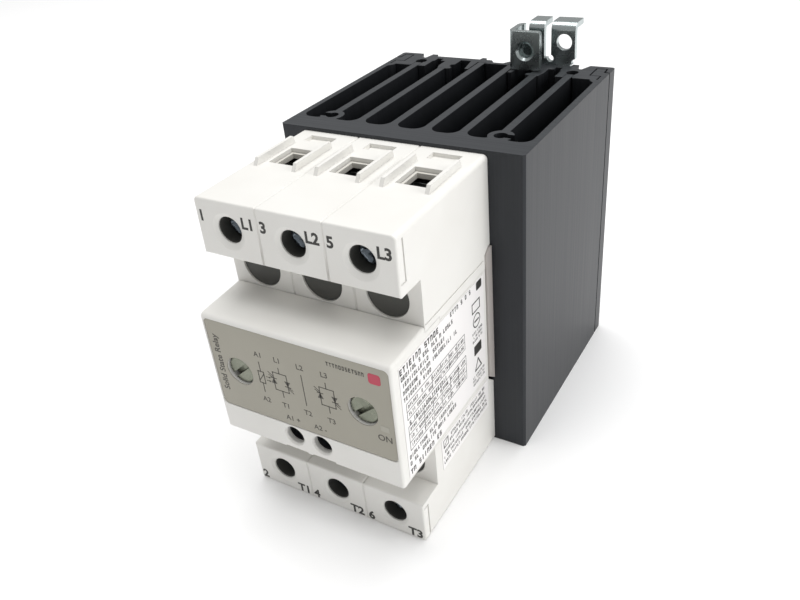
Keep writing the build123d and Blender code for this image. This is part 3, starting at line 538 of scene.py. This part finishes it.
def pin_rows(sides: int = 12, taper: float = 0.3) -> Recipe:
    """Rows of soldered pins: a cone of solder round each, tapered to a share of its width."""
    made = Recipe("pin_rows", ("Width", "Depth", "Pad", "Height"), ("Pins", "Rows"))
    given = made.given
    places = made.add("GeometryNodeMeshGrid", {
        "Size X": given["Width"], "Size Y": given["Depth"], "Vertices X": given["Pins"],
        "Vertices Y": given["Rows"]})
    joint = made.add("GeometryNodeMeshCone", {
        "Vertices": sides, "Radius Bottom": given["Pad"],
        "Radius Top": made.sum("MULTIPLY", given["Pad"], taper),
        "Depth": given["Height"]})
    placed = made.add("GeometryNodeInstanceOnPoints", {
        "Points": places.outputs[0], "Instance": joint.outputs[0]})
    made.close(placed.outputs[0])
    return made


# ---------------------------------------------------------------- printing on flat faces
class Side(Enum):
    """Faces that carry printing, as the directions of a reader's right, up and outward."""

    FRONT = ((1, 0, 0), (0, 0, 1), (0, -1, 0))
    RIGHT = ((0, 1, 0), (0, 0, 1), (1, 0, 0))
    FRONT_UPWARD = ((0, 0, 1), (-1, 0, 0), (0, -1, 0))

    def placed(self, corner: Vector) -> Matrix:
        """Matrix from millimetres on the face to metres in the model.

        Args:
            corner: the face's own origin in the model, in metres.
        Returns:
            The matrix.
        """
        turned = Matrix([Vector(axis) for axis in self.value]).transposed().to_4x4()
        return Matrix.Translation(corner) @ turned @ Matrix.Scale(MM, 4)


@dataclass
class Sheet:
    """Ink shapes on one flat face, gathered in one mesh. Lengths are millimetres on the face."""

    name: str
    place: Matrix
    finish: Finish
    slot: str = "printing_ink"
    thickness: float = 0.05
    weld: float = 1e-7
    mesh: bmesh.types.BMesh = field(default_factory=bmesh.new)

    def prism(self, outline: list[Place]) -> None:
        """A flat shape with the given outline, counter-clockwise."""
        levels = [[self.mesh.verts.new(self.place @ Vector((u, v, w * self.thickness))) for u, v in outline]
                  for w in (-0.5, 0.5)]
        back, front = levels
        self.mesh.faces.new(front)
        self.mesh.faces.new(reversed(back))
        count = len(outline)
        for i in range(count):
            j = (i + 1) % count
            self.mesh.faces.new((back[i], back[j], front[j], front[i]))

    def line(self, start: Place, end: Place, width: float) -> None:
        """A straight stroke with square ends."""
        first, last = Vector(start), Vector(end)
        along = (last - first).normalized() * width / 2
        across = Vector((-along.y, along.x))
        corners = (first - along - across, last + along - across,
                   last + along + across, first - along + across)
        self.prism([tuple(corner) for corner in corners])

    def path(self, points: list[Place], width: float) -> None:
        """Straight strokes from point to point."""
        for start, end in zip(points, points[1:]):
            self.line(start, end, width)

    def hollow_box(self, low: Place, high: Place, width: float) -> None:
        """A rectangle drawn as strokes."""
        self.path([low, (high[0], low[1]), high, (low[0], high[1]), low], width)

    def box(self, low: Place, high: Place, radius: float = 0.0) -> None:
        """A filled rectangle, with rounded corners where radius isn't zero."""
        if not radius:
            self.prism([low, (high[0], low[1]), high, (low[0], high[1])])
            return
        left, right = low[0] + radius, high[0] - radius
        bottom, top = low[1] + radius, high[1] - radius
        steps = 4
        outline = []
        for x, y, start in ((right, bottom, -90), (right, top, 0), (left, top, 90), (left, bottom, 180)):
            for step in range(steps + 1):
                angle = math.radians(start + step * 90 / steps)
                outline.append((x + radius * math.cos(angle), y + radius * math.sin(angle)))
        self.prism(outline)

    def ring(self, centre: Place, radius: float, width: float, sides: int = 24) -> None:
        """A circle drawn as strokes."""
        turns = [2 * math.pi * step / sides for step in range(sides + 1)]
        self.path([(centre[0] + radius * math.cos(turn), centre[1] + radius * math.sin(turn))
                   for turn in turns], width)

    def text(self, word: str, centre: Place, height: float, weight: float) -> None:
        """Lettering centred on a point.

        Args:
            word: what it says.
            centre: its middle.
            height: height of a capital.
            weight: how much bolder than the plain face.
        """
        scale = height / CAPITAL
        curve = bpy.data.curves.new(word, "FONT")
        curve.body = word
        curve.resolution_u = 3
        curve.offset = weight
        curve.extrude = self.thickness / 2 / scale
        host = new_object(word, curve)
        letters = evaluated_mesh(host)
        drop(host)
        across = [v.co.x for v in letters.vertices]
        middle = (min(across) + max(across)) / 2
        letters.transform(self.place @ Matrix.Translation((centre[0], centre[1] - height / 2, 0.0))
                          @ Matrix.Scale(scale, 4) @ Matrix.Translation((-middle, 0.0, 0.0)))
        self.mesh.from_mesh(letters)

    def stamp(self, shape: bpy.types.Mesh, centre: Place) -> None:
        """Adds a baked shape, in metres, centred on a point of the face."""
        shape.transform(self.place @ Matrix.Translation((*centre, 0.0)) @ Matrix.Scale(1 / MM, 4))
        self.mesh.from_mesh(shape)

    def finish_off(self) -> None:
        """Turns the shapes into one piece that rides on the fixed body."""
        bmesh.ops.remove_doubles(self.mesh, verts=self.mesh.verts, dist=self.weld)
        bmesh.ops.recalc_face_normals(self.mesh, faces=self.mesh.faces)
        mesh = bpy.data.meshes.new(self.name)
        self.mesh.to_mesh(mesh)
        self.mesh.free()
        finish_piece(self.name, mesh, self.finish, "base")


def capital_height() -> float:
    """Height of a capital letter in the font, at size one."""
    curve = bpy.data.curves.new("capital", "FONT")
    curve.body = "H"
    host = new_object("capital", curve)
    mesh = evaluated_mesh(host)
    drop(host)
    return max(v.co.y for v in mesh.vertices)


CAPITAL = capital_height()


def finish_piece(name: str, mesh: bpy.types.Mesh, finish: Finish, body: str,
                 replaced: tuple[str, ...] = ()) -> bpy.types.Object:
    """Makes a piece of a mesh that already stands in its place.

    Args:
        name: the piece's name.
        mesh: its mesh, in metres.
        finish: its finish.
        body: the body it rides on.
        replaced: the nodes it stands for.
    Returns:
        The piece.
    """
    mesh.materials.clear()
    mesh.materials.append(finish.material())
    piece = new_object(name, mesh)
    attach(piece, body)
    if replaced:
        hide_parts(*replaced)
    LOG.info("%s: %d faces on %s", name, len(mesh.polygons), body)
    return piece


def dress_nodes(finish: Finish, *names: str) -> None:
    """Gives CAD nodes their finish."""
    for name in names:
        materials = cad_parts[name].data.materials
        materials.clear()
        materials.append(finish.material())
        LOG.info("%s: %s", name, finish.name)


# ---------------------------------------------------------------- sub-assemblies
@dataclass
class Heatsink:
    """Core and rear plate, both sawn from black anodised extrusion."""

    def build(self) -> None:
        """Dresses both extrusions."""
        dress_nodes(ANODISED, "heatsink_core", "heatsink_back_plate")


@dataclass
class RailClip:
    """Bracket, sprung slider, its guide screws and the coil spring."""

    wire: float = 0.28
    coil: float = 1.55
    turns: float = 9.0

    def build(self) -> None:
        """Dresses the sheet parts and winds the spring."""
        dress_nodes(ZINC_SHEET, "din_bracket", "din_slider")
        dress_nodes(ZINC_SCREW_DARKENED_SHADE, "bracket_screws", "slider_guide_screws")
        self.wind()

    def wind(self) -> None:
        """Coil spring with closed ends; it stays at its rest height on the fixed body."""
        low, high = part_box("din_spring")
        centre = (low + high) / 2
        height = high.z - low.z
        shape = helix().bake(SPRING_STEEL, Radius=self.coil * MM, Wire=self.wire * MM,
                             Height=height - 2 * self.wire * MM, Turns=self.turns, Closed=1.0, Sides=12)
        shape.transform(Matrix.Translation((centre.x, centre.y, low.z + self.wire * MM)))
        shape.shade_smooth()
        piece = finish_piece("rail_spring", shape, SPRING_STEEL, "base", ("din_spring",))
        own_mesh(piece)


@dataclass
class PowerSection:
    """Foil, frame, ceramic plates, thyristors, straps, gate pins and busbars."""

    def build(self) -> None:
        """Dresses the nodes."""
        dress_nodes(FOIL_PAD, "thermal_pad")
        dress_nodes(FRAME_PLASTIC, "substrate_frame")
        dress_nodes(ZINC_SCREW_DARKENED_SHADE, "frame_screws")
        dress_nodes(CERAMIC, "ceramic_substrates")
        dress_nodes(SILICON, "thyristor_chips")
        dress_nodes(COPPER, "bond_straps")
        dress_nodes(BRASS, "gate_pins")
        dress_nodes(TINNED, "busbar_l1", "busbar_l3", "busbar_t1", "busbar_t3", "busbar_l2_t2")


@dataclass
class Electronics:
    """Board with its parts, the control terminal and the light guide."""

    pad: float = 0.75
    solder: float = 0.9
    pins: int = 4
    row_gap: float = 5.08
    rows: tuple[tuple[float, float, float, int], ...] = (
        (-8.3, 45.3, 7.0, 2), (7.7, 45.3, 7.0, 2), (-1.35, 35.0, 8.3, 1))

    def build(self) -> None:
        """Dresses the nodes and adds the solder joints."""
        dress_nodes(BOARD, "control_board")
        dress_nodes(BLACK_EPOXY, "optocouplers", "control_terminal_body")
        dress_nodes(VARISTOR, "varistors")
        dress_nodes(SLEEVE, "filter_capacitor")
        dress_nodes(LED_BODY, "status_led")
        dress_nodes(ACRYLIC, "light_pipe")
        dress_nodes(BRASS, "control_contacts")
        self.solder_joints()

    def solder_joints(self) -> None:
        """Solder joints on the back of the board: each entry of rows is x, z, span and count of rows."""
        recipe = pin_rows()
        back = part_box("control_board")[1].y
        joined = bmesh.new()
        for x, z, span, rows in self.rows:
            shape = recipe.bake(TINNED, Width=span * MM, Depth=self.row_gap * MM, Pad=self.pad * MM,
                                Height=self.solder * MM, Pins=self.pins, Rows=rows)
            shape.transform(Matrix.Translation((x * MM, back, z * MM))
                            @ Matrix.Rotation(-math.pi / 2, 4, "X"))
            joined.from_mesh(shape)
        mesh = bpy.data.meshes.new("solder_joints")
        bmesh.ops.recalc_face_normals(joined, faces=joined.faces)
        joined.to_mesh(mesh)
        joined.free()
        finish_piece("solder_joints", mesh, TINNED, "base")


@dataclass
class ClampScrew:
    """A clamp screw with its thread, made from the CAD screw.

    It has a thread radius, a pitch and the length of its head, in millimetres.
    """

    name: str
    radius: float
    pitch: float
    head: float
    neck: float = 0.2
    weld: float = 1e-6
    sharp: float = 35.0

    def build(self) -> None:
        """Thins the stem to the thread's core and winds the thread on it."""
        low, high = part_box(self.name)
        depth = 0.5 * self.pitch
        axis = (low + high) / 2
        shape = bmesh.new()
        shape.from_mesh(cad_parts[self.name].data)
        bmesh.ops.remove_doubles(shape, verts=shape.verts, dist=self.weld)
        head_back = low.y + self.head * MM
        core = (self.radius - depth) / self.radius
        for vert in shape.verts:
            if vert.co.y > head_back + self.neck * MM:
                vert.co.x = axis.x + (vert.co.x - axis.x) * core
                vert.co.z = axis.z + (vert.co.z - axis.z) * core
        length = high.y - head_back - self.pitch * MM
        thread = HELIX.bake(ZINC_SCREW_DARKENED_SHADE, Radius=(self.radius - depth) * MM, Wire=depth * MM, Height=length,
                            Turns=length / (self.pitch * MM), Closed=0.0, Sides=4)
        thread.transform(Matrix.Translation((axis.x, head_back + self.pitch / 2 * MM, axis.z))
                         @ Matrix.Rotation(-math.pi / 2, 4, "X"))
        shape.from_mesh(thread)
        mesh = bpy.data.meshes.new(self.name)
        shape.to_mesh(mesh)
        shape.free()
        mesh.set_sharp_from_angle(angle=math.radians(self.sharp))
        finish_piece(self.name + "_threaded", mesh, ZINC_SCREW_DARKENED_SHADE, self.name,
                     (self.name,))


@dataclass
class Terminals:
    """Carriers, wire guides, box clamps and clamp screws: radius, pitch and head length of each size."""

    poles: int = 6
    controls: tuple[str, ...] = ("a1", "a2")
    power_size: Triple = (2.5, 0.8, 5.15)
    control_size: Triple = (1.5, 0.5, 1.75)

    def build(self) -> None:
        """Dresses the nodes and threads the screws."""
        dress_nodes(CARRIER, "line_terminal_carrier", "load_terminal_carrier")
        dress_nodes(GUIDE, "line_wire_guide", "load_wire_guide")
        for number in range(1, self.poles + 1):
            dress_nodes(CLAMP_STEEL, f"power_clamp_{number}")
            ClampScrew(f"power_screw_{number}", *self.power_size).build()
        for name in self.controls:
            dress_nodes(CLAMP_STEEL, f"control_clamp_{name}")
            ClampScrew(f"control_screw_{name}", *self.control_size).build()


@dataclass
class Housing:
    """Base housing, front cover, facia, labels and the two long screws."""

    def build(self) -> None:
        """Dresses the shells."""
        dress_nodes(HOUSING, "base_housing", "front_cover")
        dress_nodes(FACIA, "facia_label")
        dress_nodes(PAPER, "rating_label", "caution_label")
        dress_nodes(DARK_SCREW_PAINTED_SHADE, "housing_screws")


@dataclass
class TerminalMarks:
    """Numbers and names beside the power terminals."""

    height: float = 2.6
    line_level: float = 84.55
    load_level: float = 2.05
    number_offset: float = -7.35
    name_offset: float = 5.95
    lean: float = 1.185
    weight: float = 0.036
    line_overhang: float = 0.29
    line_underside: float = 74.5

    def build(self) -> None:
        """Prints both rows."""
        rows = (("line_marks", self.line_level, ("1", "3", "5"), ("L1", "L2", "L3"), self.line_front()),
                ("load_marks", self.load_level, ("2", "4", "6"), ("T1", "T2", "T3"), self.load_front()))
        for name, level, numbers, names, place in rows:
            sheet = Sheet(name, place, INK)
            for pole, (number, label) in enumerate(zip(numbers, names)):
                low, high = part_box(f"power_screw_{2 * pole + 1}")
                x = (low.x + high.x) / 2 / MM
                sheet.text(number, (x + self.number_offset, 0.0), self.height, self.weight)
                sheet.text(label, (x + self.name_offset, 0.0), self.height, self.weight)
            sheet.finish_off()

    def line_front(self) -> Matrix:
        """The line block's front leans forward towards its lower edge."""
        lean = math.radians(self.lean)
        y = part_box("base_housing")[0].y + (self.line_level - self.line_underside) * MM * math.tan(lean)
        return Side.FRONT.placed(Vector((0, y, self.line_level * MM))) @ Matrix.Rotation(-lean, 4, "X")

    def load_front(self) -> Matrix:
        """The load block's front is upright."""
        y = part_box("base_housing")[0].y + self.line_overhang * MM
        return Side.FRONT.placed(Vector((0, y, self.load_level * MM)))


@dataclass
class FaciaPrint:
    """Contact diagram, terminal names, title and mark on the grey facia. Places are x and z."""

    stroke: float = 0.25
    fine: float = 0.2
    arrow: float = 0.18
    thickness: float = 0.04
    top: float = 53.6
    bottom: float = 39.9
    small: float = 1.45
    weight: float = 0.012
    foot: float = 42.3
    crown: float = 51.3
    input_x: float = -12.2
    poles: Triple = (-6.4, 0.3, 7.1)

    def build(self) -> None:
        """Prints the facia."""
        sheet = self.sheet("facia_print", FACIA_INK)
        self.control_side(sheet)
        first, middle, last = self.poles
        for x, line, load in ((first, "L1", "T1"), (last, "L3", "T3")):
            self.switched_pole(sheet, x)
            self.pole_names(sheet, x, line, load)
        sheet.line((middle, self.foot), (middle, self.crown), self.stroke)
        self.pole_names(sheet, middle, "L2", "T2")
        for word, place, height in (("A1 +", (-4.9, 36.2), self.small), ("A2 -", (3.2, 36.2), self.small),
                                    ("ON", (21.8, 40.1), 1.7)):
            sheet.text(word, place, height, self.weight)
        letters = PRINT.bake(FACIA_INK, Width=9.4 * MM, Pitch=1.0 * MM, Height=1.15 * MM,
                             Thickness=self.thickness * MM, Letters=12, Lines=1, Seed=4, Gaps=0.08)
        sheet.stamp(letters, (13.3, 57.3))
        sheet.finish_off()
        title = self.sheet("facia_title", FACIA_INK, Side.FRONT_UPWARD)
        title.text("Solid State Relay", (47.4, 25.1), 1.75, 0.016)
        title.finish_off()
        mark = self.sheet("facia_mark", RED_INK, slot="accent_ink")
        mark.box((19.3, 55.4), (22.5, 58.3), 0.7)
        mark.finish_off()
        window = self.sheet("facia_window", WINDOW_INK)
        window.box((20.9, 42.2), (23.3, 43.9), 0.3)
        window.finish_off()

    def sheet(self, name: str, ink: Finish, side: Side = Side.FRONT, slot: str = "printing_ink") -> Sheet:
        """Empty sheet on the facia's front."""
        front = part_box("facia_label")[0].y
        return Sheet(name, side.placed(Vector((0, front, 0))), ink, slot, self.thickness)

    def pole_names(self, sheet: Sheet, x: float, line: str, load: str) -> None:
        """Names above and below one pole's symbol."""
        sheet.text(line, (x, self.top), self.small, self.weight)
        sheet.text(load, (x, self.bottom), self.small, self.weight)

    def control_side(self, sheet: Sheet) -> None:
        """Input symbol between A1 and A2, with two light arrows."""
        x, half, low, high = self.input_x, 0.85, 45.0, 48.5
        self.pole_names(sheet, x, "A1", "A2")
        sheet.line((x, self.foot), (x, low), self.stroke)
        sheet.line((x, high), (x, self.crown), self.stroke)
        sheet.hollow_box((x - half, low), (x + half, high), self.stroke)
        sheet.line((x - half, low + 0.6), (x + half, high - 0.6), self.stroke)
        for level in (46.3, 47.4):
            sheet.line((x + 1.5, level), (x + 2.4, level), self.arrow)
            sheet.prism([(x + 2.3, level - 0.3), (x + 2.9, level), (x + 2.3, level + 0.3)])

    def switched_pole(self, sheet: Sheet, x: float) -> None:
        """Two thyristors back to back in a loop."""
        half, low, high = 2.0, 44.3, 49.6
        sheet.hollow_box((x - half, low), (x + half, high), self.stroke)
        sheet.line((x, high), (x, self.crown), self.stroke)
        sheet.line((x, low - 1.9), (x, low), self.stroke)
        middle = (low + high) / 2
        for side in (-1, 1):
            branch, tip, base = x + side * half, middle - side * 0.8, middle + side * 0.8
            corners = [(branch - 0.85, base), (branch + 0.85, base), (branch, tip)]
            sheet.prism(corners if tip > base else corners[::-1])
            sheet.line((branch - 0.8, tip), (branch + 0.8, tip), self.stroke)
            for start, end in (((0.0, 0.0), (1.3, -0.7)), ((0.2, -0.6), (1.4, -1.5))):
                sheet.line((branch + side * start[0], tip + side * start[1]),
                           (branch + side * end[0], tip + side * end[1]), self.fine)


@dataclass
class Label:
    """A printed label on the right side. Places are measured from its lower front corner."""

    node: str
    thickness: float = 0.05
    rule: float = 0.16
    spacing: float = 0.78
    gaps: float = 0.14

    def sheet(self) -> Sheet:
        """Empty sheet on the label's face."""
        low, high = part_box(self.node)
        place = Side.RIGHT.placed(Vector((high.x, low.y, low.z)))
        return Sheet(self.node + "_print", place, INK, thickness=self.thickness)

    def lines(self, sheet: Sheet, left: float, right: float, level: float, height: float, seed: int,
              count: int = 1, pitch: float = 1.0) -> None:
        """Rows of small print.

        Args:
            sheet: the label's sheet.
            left: where the rows start.
            right: where they end.
            level: the first row's level.
            height: height of a letter.
            seed: seed of the letters.
            count: number of rows.
            pitch: step from row to row.
        """
        letters = round((right - left) / (self.spacing * height))
        rows = PRINT.bake(INK, Width=(right - left) * MM, Pitch=pitch * MM, Height=height * MM,
                          Thickness=self.thickness * MM, Letters=letters, Lines=count, Seed=seed,
                          Gaps=self.gaps)
        sheet.stamp(rows, ((left + right) / 2, level - pitch * (count - 1) / 2))

    def table(self, sheet: Sheet, low: Place, high: Place, columns: int,
              rows: int) -> None:
        """Ruled table with equal columns and rows."""
        rules = TABLE.bake(INK, Width=(high[0] - low[0]) * MM, Height=(high[1] - low[1]) * MM,
                           Rule=self.rule * MM, Thickness=self.thickness * MM, Columns=columns, Rows=rows)
        sheet.stamp(rules, ((low[0] + high[0]) / 2, (low[1] + high[1]) / 2))


@dataclass
class RatingLabel(Label):
    """Large label: heading, data lines, two tables and a column of plain marks.

    Each data row is its left end, right end, level and seed.
    """

    letter: float = 1.2
    data: tuple[tuple[float, float, float, int], ...] = (
        (0.9, 24.6, 29.0, 5), (1.3, 20.2, 27.0, 6), (1.2, 26.4, 25.0, 8), (1.2, 13.0, 23.0, 9),
        (1.6, 20.0, 15.4, 11), (1.2, 22.4, 5.9, 12), (1.2, 24.8, 3.9, 13))

    def build(self) -> None:
        """Prints the label."""
        sheet = self.sheet()
        self.lines(sheet, 0.8, 17.5, 31.0, 1.65, 3)
        for left, right, level, seed in self.data:
            self.lines(sheet, left, right, level, self.letter, seed)
        self.lines(sheet, 1.2, 15.5, 1.4, 1.55, 14)
        self.lines(sheet, 24.4, 35.6, 31.3, 1.3, 15)
        self.table(sheet, (1.6, 16.8), (13.6, 21.4), 1, 2)
        self.table(sheet, (13.6, 16.8), (30.6, 21.4), 4, 2)
        self.lines(sheet, 2.6, 29.6, 20.2, 0.95, 21, 2, 2.3)
        self.table(sheet, (1.6, 7.6), (8.8, 14.7), 1, 3)
        self.table(sheet, (8.8, 7.6), (30.8, 14.7), 5, 3)
        self.lines(sheet, 2.6, 29.8, 13.5, 0.95, 22, 3, 2.37)
        self.marks(sheet)
        sheet.finish_off()

    def marks(self, sheet: Sheet) -> None:
        """Plain shapes in the place of approval marks."""
        sheet.box((38.0, 29.6), (41.0, 32.0), 0.5)
        sheet.hollow_box((35.4, 24.2), (39.6, 26.9), 0.35)
        sheet.ring((37.6, 21.2), 1.9, 0.3)
        sheet.line((36.6, 21.2), (38.6, 21.2), 0.5)
        self.lines(sheet, 35.2, 40.4, 18.0, 0.7, 31, 3, 1.2)
        sheet.box((35.6, 10.9), (39.8, 13.9), 0.3)
        sheet.path([(35.8, 6.0), (39.4, 6.0), (37.6, 9.2), (35.8, 6.0)], 0.4)
        self.lines(sheet, 34.6, 40.8, 4.4, 0.7, 33, 3, 1.15)


@dataclass
class CautionLabel(Label):
    """Small label with five rows of print and a framed mark."""

    def build(self) -> None:
        """Prints the label."""
        sheet = self.sheet()
        sheet.hollow_box((1.0, 6.6), (3.4, 9.0), 0.25)
        sheet.line((1.3, 6.9), (3.1, 8.7), 0.25)
        self.lines(sheet, 4.6, 24.6, 8.5, 0.9, 41, 2, 1.5)
        self.lines(sheet, 1.0, 25.8, 5.1, 0.9, 42, 3, 1.65)
        sheet.finish_off()


# ---------------------------------------------------------------- studio
@dataclass
class Softbox:
    """A square lamp: where it hangs, what it points at, its side and its power in watts."""

    name: str
    place: Triple
    aim: Triple
    size: float
    watts: float

    def build(self) -> None:
        """Hangs the lamp."""
        light = bpy.data.lights.new(self.name, "AREA")
        light.energy = self.watts
        light.shape = "SQUARE"
        light.size = self.size * MM
        lamp = new_object(self.name, light)
        lamp.location = Vector(self.place) * MM
        lamp.rotation_mode = "QUATERNION"
        lamp.rotation_quaternion = (Vector(self.aim) - Vector(self.place)).to_track_quat("-Z", "Y")


@dataclass
class Studio:
    """Pale floor, soft lights and the camera."""

    eye: Triple = (99.13, -166.30, 161.12)
    aim: Triple = (-16.28, 9.18, 25.53)
    roll: float = -5.93
    lens: float = 35.115
    near: float = 0.01
    floor_size: float = 5000.0
    sky_strength: float = 0.44

    def build(self) -> None:
        """Makes everything round the object."""
        self.ground()
        self.sky()
        Softbox("overhead", (-100, 180, 1500), (0, 0, 40), 1300, 19.5).build()
        Softbox("right", (1400, 120, 700), (0, 0, 50), 900, 10.5).build()
        self.camera()

    def ground(self) -> None:
        """Floor under the object."""
        shape = bmesh.new()
        bmesh.ops.create_grid(shape, x_segments=1, y_segments=1, size=self.floor_size / 2 * MM)
        mesh = bpy.data.meshes.new("floor")
        shape.to_mesh(mesh)
        shape.free()
        mesh.materials.append(SWEEP.material())
        new_object("floor", mesh)

    def sky(self) -> None:
        """Even pale surroundings."""
        world = bpy.data.worlds.new("studio")
        world.use_nodes = True
        world.node_tree.nodes.clear()
        light = add(world.node_tree, "ShaderNodeBackground", {
            "Color": linear("#FFFFFF"), "Strength": self.sky_strength})
        add(world.node_tree, "ShaderNodeOutputWorld", {"Surface": light.outputs[0]})
        bpy.context.scene.world = world

    def camera(self) -> None:
        """Camera above the front right corner."""
        data = bpy.data.cameras.new("camera")
        data.lens = self.lens
        data.clip_start = self.near
        camera = new_object("camera", data)
        camera.location = Vector(self.eye) * MM
        camera.rotation_mode = "QUATERNION"
        look = (Vector(self.aim) - Vector(self.eye)).to_track_quat("-Z", "Y")
        roll = Matrix.Rotation(math.radians(self.roll), 3, "Z").to_quaternion()
        camera.rotation_quaternion = look @ roll
        bpy.context.scene.camera = camera
        bpy.context.scene.view_settings.view_transform = "Standard"


PRINT = small_print()
TABLE = ruled_table()
HELIX = helix()


def main() -> None:
    """Builds the sub-assemblies in order."""
    logging.basicConfig(level=logging.INFO, format="%(message)s")
    for part in (Studio(), Heatsink(), RailClip(), PowerSection(), Electronics(), Terminals(), Housing(),
                 TerminalMarks(), FaciaPrint(), RatingLabel("rating_label"), CautionLabel("caution_label")):
        LOG.info("== %s", type(part).__name__)
        part.build()


if __name__ == "__main__":
    main()
